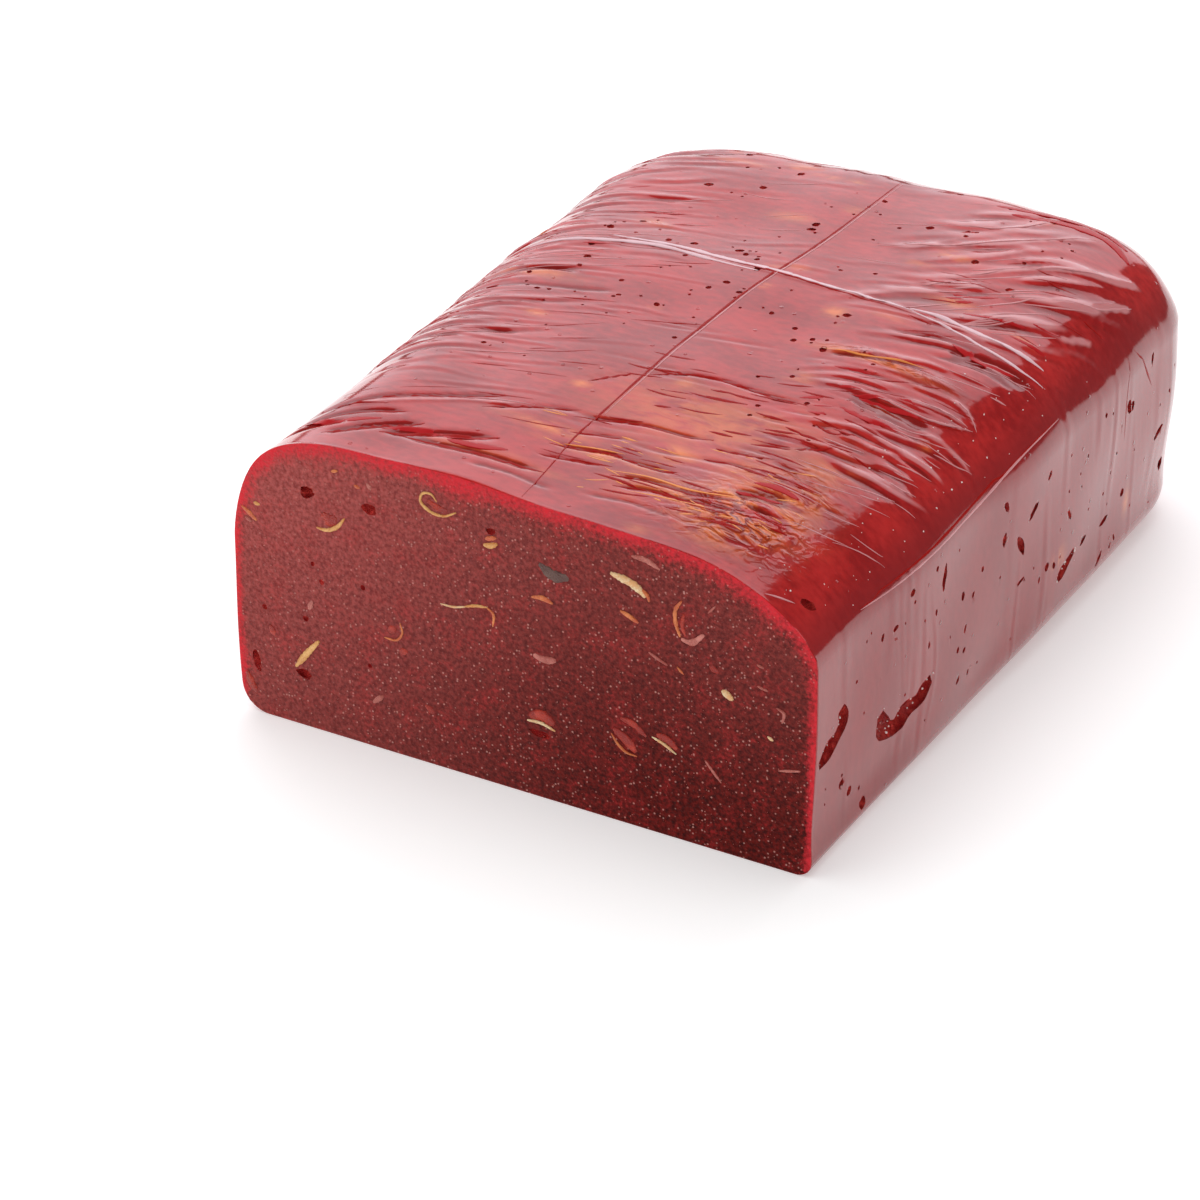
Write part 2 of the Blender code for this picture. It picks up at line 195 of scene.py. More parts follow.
def body_points(box):
    """Move the points of a box from -1 to 1 each way to the block's form."""
    a, b, c = box.T
    y = length_at(b)
    change = smooth((y - CUT_Y) / SPREAD_LENGTH)
    front = section_points(CUT_SECTION, a, c)
    back = section_points(BACK_SECTION, a, c)
    x, z = (front + (back - front) * change[:, None]).T
    spread = np.where(x < 0.0, SPREAD_LEFT, SPREAD_RIGHT) * change
    corner = np.where(x < 0.0, end_drop(y, CORNER_LEFT), end_drop(y, CORNER_RIGHT))
    x = x * (1.0 + (spread - corner) / HALF_WIDTH)
    top = end_drop(y, ROUND_TOP)
    base = end_drop(y, ROUND_BASE)
    z = base + z * (1.0 - (top + base) / BACK_SECTION["crown"])
    bulge = BACK_BULGE * (1.0 - a ** 2) * (1.0 - c ** 2)
    return np.stack([x + MIDDLE_X, y + np.where(b > AT_END, bulge, 0.0), z], 1)


def waves(points):
    """Slow, uneven waves over the skin, as heights."""
    random = np.random.default_rng(WAVE_SEED)
    shifted = points - (MIDDLE_X, MIDDLE_Y, 0.0)
    total = np.zeros(len(points))
    for _ in range(WAVE_COUNT):
        heading = random.normal(size=3)
        heading = heading / np.linalg.norm(heading)
        length = random.uniform(WAVE_SHORTEST, WAVE_LONGEST)
        phase = random.uniform(0.0, 2.0 * math.pi)
        total = total + np.sin(shifted @ heading * 2.0 * math.pi / length + phase)
    return WAVE_DEPTH * total / math.sqrt(WAVE_COUNT / 2)


# The skin laid flat: u runs across from the middle and down the sides, v along, both in mm
SHOULDER_Z = 50.0 * MM
TURN_LENGTH = 20.0 * MM


def skin_place(points):
    """Each point's place on the skin laid flat."""
    x = points[:, 0] - MIDDLE_X
    y = points[:, 1] - MIDDLE_Y
    down = np.clip(SHOULDER_Z - points[:, 2], 0.0, None)
    at_back = smooth((y - LENGTH / 2.0 + TURN_LENGTH) / TURN_LENGTH)
    u = x + np.sign(x) * down * (1.0 - at_back)
    return u / MM, (y + down * at_back) / MM


# The seam along the top and the raised band across it: route, half width and height, in mm
CROSS_BAND = (
    ((-56, 4), (-42, 9.5), (-28.5, 15), (-13.5, 15.2), (-1, 14.5), (13, 13.5),
     (27.5, 12.2), (39, 12.2), (47, 14), (56, 18)), 0.6, 0.24)
LONG_SEAM = (
    (1.6, -75.6), (0.3, -65), (-1.3, -52.6), (-1.5, -45), (-1.9, -31), (-2.4, -16),
    (-2, 3), (0, 23), (0.9, 45), (0.6, 66))

# Grooves that show one by one
GROOVES = (
    (((-1.5, -29.5), (4, -26), (10, -24.8), (17, -25.4), (25.5, -26)), 0.42, -0.34),
    (((-9, -36.5), (-5.5, -32.2), (-3.5, -30.3)), 0.35, -0.2),
    (((-5, -48.2), (0, -46), (6.5, -44.6), (13.5, -44.2), (17.5, -43)), 0.45, -0.36),
    (((-3, -52.8), (1, -51.3), (5, -50.4)), 0.4, -0.26),
    (((-4, -57.8), (0.5, -56.6), (6, -55.5), (12, -56.2), (18.5, -56)), 0.48, -0.36),
    (((-4, -61.6), (2.5, -60.2), (6.5, -59.6)), 0.42, -0.28), (((19, -45.2), (24, -44.3)), 0.4, -0.26),
    (((19, -49.2), (23.8, -48.2), (27.5, -48.4)), 0.42, -0.28), (((23, -41), (29, -39)), 0.38, -0.24),
    (((29.5, -38.6), (34.5, -34.2)), 0.38, -0.24), (((29, -30), (32, -30.9), (35, -29)), 0.4, -0.26),
    (((9, -61.6), (14.3, -60), (22.5, -60), (29.5, -58.2)), 0.4, -0.42),
    (((11, -64.2), (17, -62.3), (22.5, -62.2), (30.5, -60.6)), 0.55, -0.42),
    (((28, -56.4), (31.5, -54.4), (36, -53)), 1.3, -0.62), (((31, -58.2), (35.5, -57.8)), 0.55, -0.4),
    (((-46, -63.5), (-39, -59.2), (-31.5, -55.6), (-22.5, -50.8), (-17, -48)), 0.55, -0.46),
    (((-45, -67), (-40.3, -64.6), (-34.2, -62.1), (-28.3, -60.2)), 0.6, -0.5),
    (((-47, -70.6), (-43.5, -68.8), (-40, -67.6), (-36, -66)), 0.75, -0.6),
    (((-38, -71.2), (-30, -66), (-24, -62.4)), 0.75, -0.55),
    (((-29, -68), (-19.2, -63.8), (-11, -61.2)), 0.95, -0.55),
    (((-26, -67.3), (-18, -67.3), (-12.3, -66.9), (0, -66.2)), 0.8, -0.45),
    (((-19, -53.3), (-10.3, -48.2), (-5, -45.7)), 0.42, -0.32),
    (((-12, -70.5), (-4, -69.4), (4, -70.2)), 0.5, -0.26),
    (((8, -68.6), (16, -67.2), (24, -67.9)), 0.5, -0.26),
    (((-44, -33), (-36, -28), (-28, -25.9)), 0.5, -0.32),
    (((-45, -11.4), (-37.5, -8.6), (-28, -6.6), (-21, -4.7)), 0.55, -0.32),
    (((-46, -4), (-38, -1.6), (-30, -0.6)), 0.55, -0.34),
    (((19, -8), (26, -6.7), (31.5, -4.7), (37, -3.8)), 0.45, -0.34),
    (((25, 4), (33, 7), (41, 8)), 0.55, -0.3), (((34, 1), (42, 3.6), (50, 4)), 0.5, -0.28),
)

# Ridges that show one by one
RIDGES = (
    (((-42, -62.4), (-33, -58.2), (-23, -52.6), (-12, -49.2)), 0.45, 0.3),
    (((36.5, -14), (43.5, -11.8), (49, -11.2)), 0.4, 0.32),
    (((42.5, -7.6), (47, -8.6), (51, -10.4)), 0.38, 0.34),
    (((33, -17), (43.5, -15.2), (50.5, -11)), 0.42, 0.34),
    (((45, -35.2), (49.4, -34.5), (52.5, -33)), 0.36, 0.3),
    (((9, 34), (20, 39), (32.5, 50), (41.5, 60)), 0.85, 0.38),
    (((17.5, 47.5), (26, 51.5), (32, 61)), 0.85, 0.32),
    (((36.5, 40), (45.5, 46.5), (52.5, 54)), 1.1, 0.48), (((43, 32), (49.2, 37.8), (55, 47)), 1.0, 0.44),
    (((41, 20), (48, 24), (55, 31)), 0.95, 0.4), (((36, 4), (44, 6), (52, 7.5)), 2, -0.6),
    (((30, -20), (37, -18), (44, -19)), 2.2, -0.55),
)

# How a crease fades at its ends and varies on its way, and how far it is felt, in mm
CREASE_END = 0.16
CREASE_UNEVEN = 0.12
CREASE_RATE = 1.3
CREASE_REACH = 3.0

# Families of fine wrinkles: count, u, v, length, half width, height, heading and how strong
# the groove beside each ridge is
WRINKLE_SEED = 41
WRINKLES = (
    (64, (-70, -34), (-46, 60), (12, 34), (0.4, 0.85), (0.08, 0.26), (16, 34), 0.9),
    (40, (-38, -14), (-48, 58), (12, 30), (0.4, 0.75), (0.03, 0.1), (6, 20), 0.8),
    (26, (-104, -60), (-72, 60), (12, 40), (0.5, 1.0), (0.06, 0.16), (-3, 4), 0.6),
    (40, (-8, 42), (-58, -10), (6, 20), (0.35, 0.6), (-0.14, -0.03), (0, 14), 0.3),
    (34, (22, 47), (-62, -20), (4, 11), (0.34, 0.55), (-0.24, -0.08), (-2, 20), 0.4),
    (40, (26, 52), (-38, 12), (9, 26), (0.45, 0.95), (0.07, 0.26), (2, 22), 0.8),
    (38, (20, 54), (16, 60), (10, 28), (0.85, 1.4), (0.1, 0.34), (26, 48), 0.8),
    (16, (-20, 26), (18, 66), (10, 30), (0.4, 0.8), (0.03, 0.1), (2, 30), 0.6),
    (30, (56, 102), (-74, 66), (14, 46), (0.55, 1.2), (0.02, 0.07), (-3, 3), 0.6),
    (22, (-30, 30), (66, 112), (10, 34), (0.5, 1.0), (0.05, 0.18), (-12, 80), 0.6),
)
WRINKLE_BOW = (-1.5, 2.5)
GROOVE_BESIDE = 1.6


def crease(u, v, route, half_width, height):
    """One crease: a sharp ridge, or a groove, along a route, fading at its ends."""
    knots = np.array(route)
    run = np.diff(knots, axis=0)
    spans = np.linalg.norm(run, axis=1)
    starts = np.concatenate([[0.0], np.cumsum(spans)])
    nearest = np.full(len(u), np.inf)
    place = np.zeros(len(u))
    for start, step, span, begun in zip(knots[:-1], run, spans, starts):
        share = ((u - start[0]) * step[0] + (v - start[1]) * step[1]) / span ** 2
        share = np.clip(share, 0.0, 1.0)
        away = np.hypot(u - start[0] - share * step[0], v - start[1] - share * step[1])
        closer = away < nearest
        nearest = np.where(closer, away, nearest)
        place = np.where(closer, begun + share * span, place)
    ends = np.minimum(place, starts[-1] - place) / (CREASE_END * starts[-1])
    ripple = np.sin(place * CREASE_RATE + 3.0 * half_width * place)
    broken = 1.0 - CREASE_UNEVEN * (1.0 - ripple)
    return height * smooth(ends) * broken * np.exp(-(nearest / half_width) ** 2)


def wrinkle(u, v, middle, length, half_width, height, heading, bow, paired):
    """One slightly bowed wrinkle, with a groove beside it."""
    du = u - middle[0]
    dv = v - middle[1]
    along = du * math.cos(heading) + dv * math.sin(heading)
    share = np.clip(2.0 * along / length, -1.0, 1.0)
    across = dv * math.cos(heading) - du * math.sin(heading) + bow * share ** 2
    ridge = np.exp(-(across / half_width) ** 2)
    beside = np.exp(-(across / half_width + GROOVE_BESIDE) ** 2)
    return height * (1.0 - share ** 2) * (ridge - paired * beside)


def skin_relief(points):
    """The height of creases and wrinkles at each point of the skin, in mm."""
    u, v = skin_place(points)
    height = np.zeros(len(u))
    for route, half_width, rise in (CROSS_BAND, *GROOVES, *RIDGES):
        low = np.min(route, axis=0) - CREASE_REACH
        high = np.max(route, axis=0) + CREASE_REACH
        near = (u > low[0]) & (u < high[0]) & (v > low[1]) & (v < high[1])
        height[near] += crease(u[near], v[near], route, half_width, rise)
    random = np.random.default_rng(WRINKLE_SEED)
    for count, us, vs, lengths, widths, heights, headings, paired in WRINKLES:
        for _ in range(count):
            middle = (random.uniform(*us), random.uniform(*vs))
            length = random.uniform(*lengths)
            half_width = random.uniform(*widths)
            rise = random.uniform(*heights)
            heading = math.radians(random.uniform(*headings))
            bow = random.uniform(*WRINKLE_BOW)
            near = np.hypot(u - middle[0], v - middle[1]) < length / 2.0 + CREASE_REACH
            height[near] += wrinkle(
                u[near], v[near], middle, length, half_width, rise, heading, bow, paired)
    return height


def loop_cut(bm, axis, cells):
    """Cut every edge that runs along one axis into equal parts."""
    edges = []
    for edge in bm.edges:
        run = edge.verts[1].co - edge.verts[0].co
        if abs(run[axis]) > ALONG_AXIS * run.length:
            edges.append(edge)
    bmesh.ops.subdivide_edges(bm, edges=edges, cuts=cells - 1, use_grid_fill=True)


def read_points(mesh):
    """A mesh's points as an array."""
    points = np.empty(len(mesh.vertices) * 3)
    mesh.vertices.foreach_get("co", points)
    return points.reshape(-1, 3)


def write_points(mesh, points):
    """Move a mesh's points to those of an array."""
    mesh.vertices.foreach_set("co", points.ravel())
    mesh.update()


def read_normals(mesh):
    """The normals at a mesh's points, as an array."""
    normals = np.empty(len(mesh.vertices) * 3)
    mesh.vertex_normals.foreach_get("vector", normals)
    return normals.reshape(-1, 3)


def new_piece(name, bm, *materials):
    """Make a bmesh into an object of the scene."""
    mesh = bpy.data.meshes.new(name)
    bm.to_mesh(mesh)
    bm.free()
    for material in materials:
        mesh.materials.append(material)
    piece = bpy.data.objects.new(name, mesh)
    bpy.context.scene.collection.objects.link(piece)
    return piece


def make_block(*materials):
    """The block: a box cut into fine cells, moved to its form, then wrinkled."""
    bm = bmesh.new()
    bmesh.ops.create_cube(bm, size=2.0)
    for axis, cells in enumerate((CELLS_ACROSS, CELLS_ALONG, CELLS_UP)):
        loop_cut(bm, axis, cells)
    block = new_piece("paste_block", bm, *materials)
    mesh = block.data
    box = read_points(mesh)
    points = body_points(box)
    write_points(mesh, points)
    fade = smooth(points[:, 2] / BASE_FADE)
    for height in (waves(points) * fade, skin_relief(points) * fade * MM):
        move = read_normals(mesh) * height[:, None]
        move[:, 1] = np.where(box[:, 1] < -AT_END, 0.0, move[:, 1])
        write_points(mesh, read_points(mesh) + move)
    return block


# The cut face: its softened edge, how rough the knife left it, and the material slots after the skin's
EDGE_SOFTNESS = 0.22 * MM
CUT_ROUGHNESS = 0.05 * MM
CUT_SEED = 3
CUT, HOLLOW = 1, 2


def on_cut(face):
    """Whether a face lies in the cut."""
    return all(v.co.y < CUT_Y + NEAR for v in face.verts)


def finish_block(block):
    """Make the base whole, soften the cut's edge, and make the cut face finer and rough."""
    bm = bmesh.new()
    bm.from_mesh(block.data)
    base = {f for f in bm.faces if all(v.co.z < NEAR for v in f.verts)}
    inside = [e for e in bm.edges if all(f in base for f in e.link_faces)]
    bmesh.ops.dissolve_edges(bm, edges=inside, use_verts=True)
    front = {f for f in bm.faces if on_cut(f)}
    for face in front:
        face.material_index = CUT
    rim = [e for e in bm.edges if sum(f in front for f in e.link_faces) == 1]
    bmesh.ops.bevel(
        bm, geom=rim, offset=EDGE_SOFTNESS, offset_type="OFFSET", affect="EDGES",
        segments=2, profile=0.5, material=-1)
    front = {f for f in bm.faces if on_cut(f)}
    edges = [e for e in bm.edges if any(f in front for f in e.link_faces)]
    bmesh.ops.subdivide_edges(bm, edges=edges, cuts=1, use_grid_fill=True)
    random = np.random.default_rng(CUT_SEED)
    for vert in bm.verts:
        if all(on_cut(face) for face in vert.link_faces):
            vert.co.y += random.uniform(-CUT_ROUGHNESS, CUT_ROUGHNESS)
    bm.to_mesh(block.data)
    bm.free()


# Hollows in the right side: place along and up, length, height and tilt, in mm and degrees
SIDE_HOLLOWS = (
    (-65.8, 11.8, 1.9, 1.3, -30), (-62.6, 8.8, 1.6, 1.2, 20), (-57.8, 4, 2.3, 1.6, 60),
    (-50, 31.9, 1.9, 0.6, 10), (-54, 32.1, 1.5, 0.6, 62), (-44.6, 35.6, 1.7, 0.9, 14),
    (-35.8, 35.7, 1, 0.7, 77), (-35.8, 27.9, 1.2, 0.6, 86), (-32.7, 32.8, 4.6, 1, 76),
    (-38.5, 23.3, 1.2, 0.5, 88), (-25.6, 25.9, 1.6, 0.8, 83), (-22, 24.5, 1.2, 0.5, 40),
    (-25, 19.7, 1.6, 0.5, 58), (-27.6, 17, 1.2, 0.7, 71), (-25.2, 15.8, 1.1, 0.7, 20),
    (-22.6, 10.3, 1.2, 0.5, 88), (-26.6, 10.8, 1.5, 0.7, 54), (-18.5, 27.5, 0.9, 0.6, 80),
    (-10.9, 29.4, 2.5, 0.9, 82), (-10.7, 35.4, 2.2, 0.9, -54), (-4.6, 25.5, 5, 1.2, -57),
    (-0.4, 30.2, 3.9, 0.9, 33), (-4, 18.5, 2.7, 0.5, 9), (3.1, 15.4, 1.2, 0.5, 85),
    (5, 34.3, 1.8, 0.7, 55), (5.7, 16.8, 1.7, 1.2, 80), (8.6, 15.7, 1.6, 0.7, -56),
    (13.9, 23, 2.6, 0.6, -57), (21.5, 14.5, 2.6, 0.9, 20), (27.9, 35.7, 1.1, 0.6, -50),
    (29.9, 6.8, 3.3, 0.7, 43), (31.1, 13.8, 3.5, 0.8, 11), (36.5, 8.1, 1.5, 0.5, -64),
    (38.3, 32.8, 2.9, 1.2, -68), (39.9, 32.5, 1.6, 1.4, 20), (48.4, 38, 2.2, 0.8, 80),
    (38.7, 16, 1.6, 1.1, 50), (53, 21.7, 4.3, 0.9, 22), (57.2, 13.5, 2.9, 1.5, -53),
)

# Long bent hollows in the right side: route along and up, and width
BENT_HOLLOWS = (
    (((-54.4, 18.6), (-52.6, 15), (-49.6, 13.6), (-45, 14.6), (-41, 14.8), (-37.2, 16.6)), 4.3),
    (((-67, 26), (-66.2, 23.6), (-68.6, 21.6), (-71.6, 20.6), (-74.4, 19.6)), 3.5),
    (((10.6, 12), (13.4, 13), (17.2, 14.6)), 2.6),
)

# Hollows in the top: place across and along, length across, width and turn
TOP_HOLLOWS = (
    (47.6, -69.6, 2.9, 1.3, 30), (-29.6, 44, 2, 1, 20), (-20, 47, 1.5, 0.9, 10), (-3.8, 34, 1.9, 0.9, 15),
    (14, 45, 1.6, 1.1, 0), (-19.5, 19.5, 1.6, 0.8, 20), (-11, 20.5, 1.7, 0.9, 20), (17, 5.6, 1.5, 1, 0),
    (19, -7.4, 1.3, 1.6, 20), (-46, -44.5, 1.1, 0.9, 20), (36, 30, 1.6, 0.9, 30),
)

# Hollows in the cut face: place across and up, length, height and tilt
CUT_HOLLOWS = (
    (-38, 43.9, 2.9, 1.5, 16), (-26.3, 43.9, 2.7, 1.3, -4), (-49.4, 9.8, 1.7, 3.2, 10),
    (-4, 45.8, 1.8, 0.8, 10), (-40.2, 9.9, 3, 1.3, -10), (4.4, 11.8, 4, 0.9, -4),
    (-47.3, 20.5, 1, 0.7, 0), (-28, 29.3, 1, 0.7, 0), (-37.5, 31.1, 0.8, 0.6, 0),
    (-35.9, 28.2, 0.9, 0.7, 0), (-39.3, 20.5, 1.2, 0.7, 20), (-27.2, 15.1, 0.8, 0.6, 0),
)

# Many more small hollows: seed, count, which way they face, ranges across and along, size
SCATTERED_HOLLOWS = (
    (11, 64, "top", (-40, 20), (-10, 26), (0.5, 1.5)),
    (12, 26, "top", (-36, 34), (-40, -4), (0.4, 1.1)),
    (13, 30, "top", (-30, 40), (26, 64), (0.5, 1.6)),
    (14, 44, "right", (-72, 60), (7, 35), (0.35, 0.8)),
    (15, 46, "left", (-70, 54), (6, 36), (0.4, 1.6)),
    (16, 34, "back", (-40, 42), (8, 38), (0.4, 1.6)),
)
SCATTERED_NARROW = (0.5, 0.9)
SCATTERED_TILT = (-20.0, 40.0)

# A hollow's form: how much wider than its mark, its least width, its depth as a share of its width
# and length, the lengths from which it is finer and more uneven, and how its lumps change
HOLLOW_WIDER = 1.45
HOLLOW_LEAST = 0.60
HOLLOW_DEPTH = (0.34, 0.26)
FINER_FROM = 2.4
UNEVEN_FROM = 1.4
UNEVEN = (0.25, 0.34)
LUMP_SIZE = 1.7
LUMP_CHANGE = 3000.0

# A long hollow's form: seed, the steps along it in mm, its taper, its lumps and its depth
BENT_SEED = 9
BENT_STEP = 0.5
BENT_TAPER = (0.05, 0.32)
BENT_LUMPS = 0.20
BENT_RATE = 0.42
BENT_DEPTH = 0.30

# Where rays start, outside the block, and which way they and a hollow's length run on each side
FAR = 0.3
LOOKS = {
    "top": ((0, 0, -1), (1, 0, 0)),
    "right": ((-1, 0, 0), (0, 1, 0)),
    "left": ((1, 0, 0), (0, 1, 0)),
    "back": ((0, -1, 0), (1, 0, 0)),
    "cut": ((0, 1, 0), (1, 0, 0)),
}


def look_from(side, across, along):
    """A point outside the block, over a place on one side of it. The place is in mm."""
    x = MIDDLE_X + across * MM
    y = MIDDLE_Y + across * MM
    if side == "top":
        return Vector((x, MIDDLE_Y + along * MM, FAR))
    if side in ("right", "left"):
        return Vector((FAR if side == "right" else -FAR, y, along * MM))
    return Vector((x, FAR if side == "back" else -FAR, along * MM))


def add_hollow(bm, tree, side, across, along, length, width, tilt):
    """One egg-shaped hollow, sunk into the block where a ray meets it."""
    direction, tangent = (Vector(part) for part in LOOKS[side])
    place, normal, _, _ = tree.ray_cast(look_from(side, across, along), direction)
    if place is None:
        return
    first = (tangent - normal * tangent.dot(normal)).normalized()
    second = normal.cross(first)
    if side in ("left", "back"):
        second = -second
    turn = Matrix.Rotation(math.radians(tilt), 3, normal)
    width = max(HOLLOW_WIDER * width, HOLLOW_LEAST)
    depth = min(HOLLOW_DEPTH[0] * width, HOLLOW_DEPTH[1] * length) * MM
    egg = bmesh.new()
    bmesh.ops.create_icosphere(egg, subdivisions=3 if length > FINER_FROM else 2, radius=1.0)
    uneven = UNEVEN[length > UNEVEN_FROM]
    for vert in egg.verts:
        lump = 1.0 + uneven * noise.noise(vert.co * LUMP_SIZE + place * LUMP_CHANGE)
        flat = first * (vert.co.x * length / 2.0) + second * (vert.co.y * width / 2.0)
        vert.co = place + turn @ flat * (lump * MM) + normal * (vert.co.z * lump * depth)
    add_part(bm, egg)


def add_bent_hollow(bm, tree, route, width, random):
    """One long, lumpy hollow that follows a route over the right side."""
    direction = Vector(LOOKS["right"][0])
    places = []
    for along, up in even_points(route, BENT_STEP):
        place, _, _, _ = tree.ray_cast(look_from("right", along, up), direction)
        places.append(place)
    count = len(places)
    lumps = 1.0 + BENT_LUMPS * np.sin(np.arange(count) * BENT_RATE + random.uniform(0.0, 6.0))
    widths = width * taper(count, *BENT_TAPER) * lumps * random.uniform(0.97, 1.03, count)
    normals = np.tile((1.0, 0.0, 0.0), (count, 1))
    add_sweep(bm, np.array(places), normals, widths * MM, widths * BENT_DEPTH * MM)


def mostly_small(random, low, high, power):
    """A random size, small more often than large."""
    return low + (high - low) * random.random() ** power


def cut_hollows(block):
    """Cut all hollows out of the block. Their walls keep the wet material."""
    tree = BVHTree.FromObject(block, bpy.context.evaluated_depsgraph_get())
    bm = bmesh.new()
    random = np.random.default_rng(BENT_SEED)
    for route, width in BENT_HOLLOWS:
        add_bent_hollow(bm, tree, route, width, random)
    for side, hollows in (("right", SIDE_HOLLOWS), ("top", TOP_HOLLOWS), ("cut", CUT_HOLLOWS)):
        for hollow in hollows:
            add_hollow(bm, tree, side, *hollow)
    for seed, count, side, across, along, sizes in SCATTERED_HOLLOWS:
        random = np.random.default_rng(seed)
        for _ in range(count):
            size = mostly_small(random, *sizes, 2)
            narrow = size * random.uniform(*SCATTERED_NARROW)
            place = (random.uniform(*across), random.uniform(*along))
            add_hollow(bm, tree, side, *place, size, narrow, random.uniform(*SCATTERED_TILT))
    for face in bm.faces:
        face.material_index = HOLLOW
    eggs = new_piece("hollows", bm, *block.data.materials)
    boolean = block.modifiers.new("hollows", "BOOLEAN")
    boolean.operation = "DIFFERENCE"
    boolean.solver = "MANIFOLD"
    boolean.object = eggs
    graph = bpy.context.evaluated_depsgraph_get()
    carved = bpy.data.meshes.new_from_object(block.evaluated_get(graph))
    block.modifiers.remove(boolean)
    whole = block.data
    block.data = carved
    bpy.data.meshes.remove(whole)
    carved.name = block.name
    bpy.data.objects.remove(eggs)


# Places where the paste glows orange under the skin: u, v, their reach, and strength
GLOWS = (
    (-7, -53.4, 7, 1.4, 0.8), (6, -56.8, 9, 1, 0.9), (14.5, -50.4, 3.4, 2.6, 1), (14, -38, 17, 9, 0.5),
    (24, -62, 11, 4.5, 0.85), (32, -58, 9, 8, 0.95), (36, -50, 6, 5, 0.8), (31, -68, 6, 4, 0.6),
    (29, -49.5, 7, 4, 0.6), (36, -41, 5, 4, 0.5), (-30, -18, 2, 1.3, 0.8), (-9.4, -38.1, 1.3, 1.1, 1),
    (27.5, -6.2, 9, 1.3, 0.95), (23.2, 36.1, 3, 1.6, 0.8), (30.7, 19.8, 4, 1.5, 0.9),
    (14.5, 5.8, 1.8, 2, 0.9), (-38, -3.4, 6.5, 1.6, 0.7), (-10, -66, 12, 1.5, 0.4),
    (-50, -73, 4, 3.5, 0.9), (89.8, 10.4, 1.7, 2.2, 0.8), (92.6, 41, 2.2, 1.2, 0.6),
    (-30, 56, 6, 1.5, 0.5), (-18, 60, 3, 1.3, 0.6), (-6, 70, 4, 1.6, 0.4),
)

# More of them, at random
GLOW_SEED = 5
GLOW_COUNT = 34
GLOW_ACROSS = (-52.0, 50.0)
GLOW_ALONG = (-74.0, 90.0)
GLOW_REACH = (0.6, 2.0)
GLOW_STRETCH = (1.0, 2.5)
GLOW_STRENGTH = (0.3, 0.7)

# Where the skin is crackled, and how strongly
CRACKLES = ((32, -62, 11, 7.5, 1), (34, -48, 8, 6, 0.5), (30, -5.6, 9, 1.6, 0.7))

# How far in from its edge the cut face is painted bright red, as the glow of light coming through the
# thin edge:
# at the sides and along the top, how high it begins, where the sides end, and from where and over what
# height it widens, all in mm
RIM_SIDE = 2.4
RIM_TOP = 4.8
RIM_FOOT = 4.0
RIM_SIDES_END = 36.0
RIM_WIDENS = 30.0
RIM_WIDENING = 14.0


def spots(u, v, places):
    """How strongly soft round spots cover each point."""
    cover = np.zeros(len(u))
    for middle_u, middle_v, reach_u, reach_v, strength in places:
        away = ((u - middle_u) / reach_u) ** 2 + ((v - middle_v) / reach_v) ** 2
        cover = np.maximum(cover, strength * np.exp(-away))
    return cover


def add_mask(mesh, name, values):
    """Keep one value for each point of a mesh."""
    layer = mesh.attributes.new(name, "FLOAT", "POINT")
    layer.data.foreach_set("value", values.astype(np.float32))


def painted_rim_glow(points):
    """How near each point of the cut face is to the face's top and sides."""
    path = outline(CUT_SECTION)[::8] / MM
    path = path[path[:, 1] > RIM_FOOT]
    x = (points[:, 0] - MIDDLE_X) / MM
    z = points[:, 2] / MM
    inward = np.maximum(HALF_WIDTH / MM - np.abs(x), 0.0)
    nearest = np.where(z < RIM_SIDES_END, inward, np.inf)
    for edge_x, edge_z in path:
        nearest = np.minimum(nearest, np.hypot(x - edge_x, z - edge_z))
    width = RIM_SIDE + (RIM_TOP - RIM_SIDE) * smooth((z - RIM_WIDENS) / RIM_WIDENING)
    return 1.0 - smooth(nearest / width)


def add_masks(mesh):
    """Keep what the materials need to know about each point of the block."""
    points = read_points(mesh)
    u, v = skin_place(points)
    random = np.random.default_rng(GLOW_SEED)
    glows = list(GLOWS)
    for _ in range(GLOW_COUNT):
        place = (random.uniform(*GLOW_ACROSS), random.uniform(*GLOW_ALONG))
        reach = random.uniform(*GLOW_REACH)
        across = reach * random.uniform(*GLOW_STRETCH)
        glows.append((*place, across, reach, random.uniform(*GLOW_STRENGTH)))
    add_mask(mesh, "glow", spots(u, v, glows))
    add_mask(mesh, "crackle", spots(u, v, CRACKLES))
    add_mask(mesh, "relief", skin_relief(points))
    # The rim mask marks where the glow of light through the cut's thin edge is painted.
    add_mask(mesh, "rim", np.where(points[:, 1] < CUT_Y + 1.0 * MM, painted_rim_glow(points), 0.0))
    layer = mesh.attributes.new("skin_place", "FLOAT_VECTOR", "POINT")
    flat = np.stack([u * MM, v * MM, np.zeros(len(u))], 1)
    layer.data.foreach_set("vector", flat.astype(np.float32).ravel())


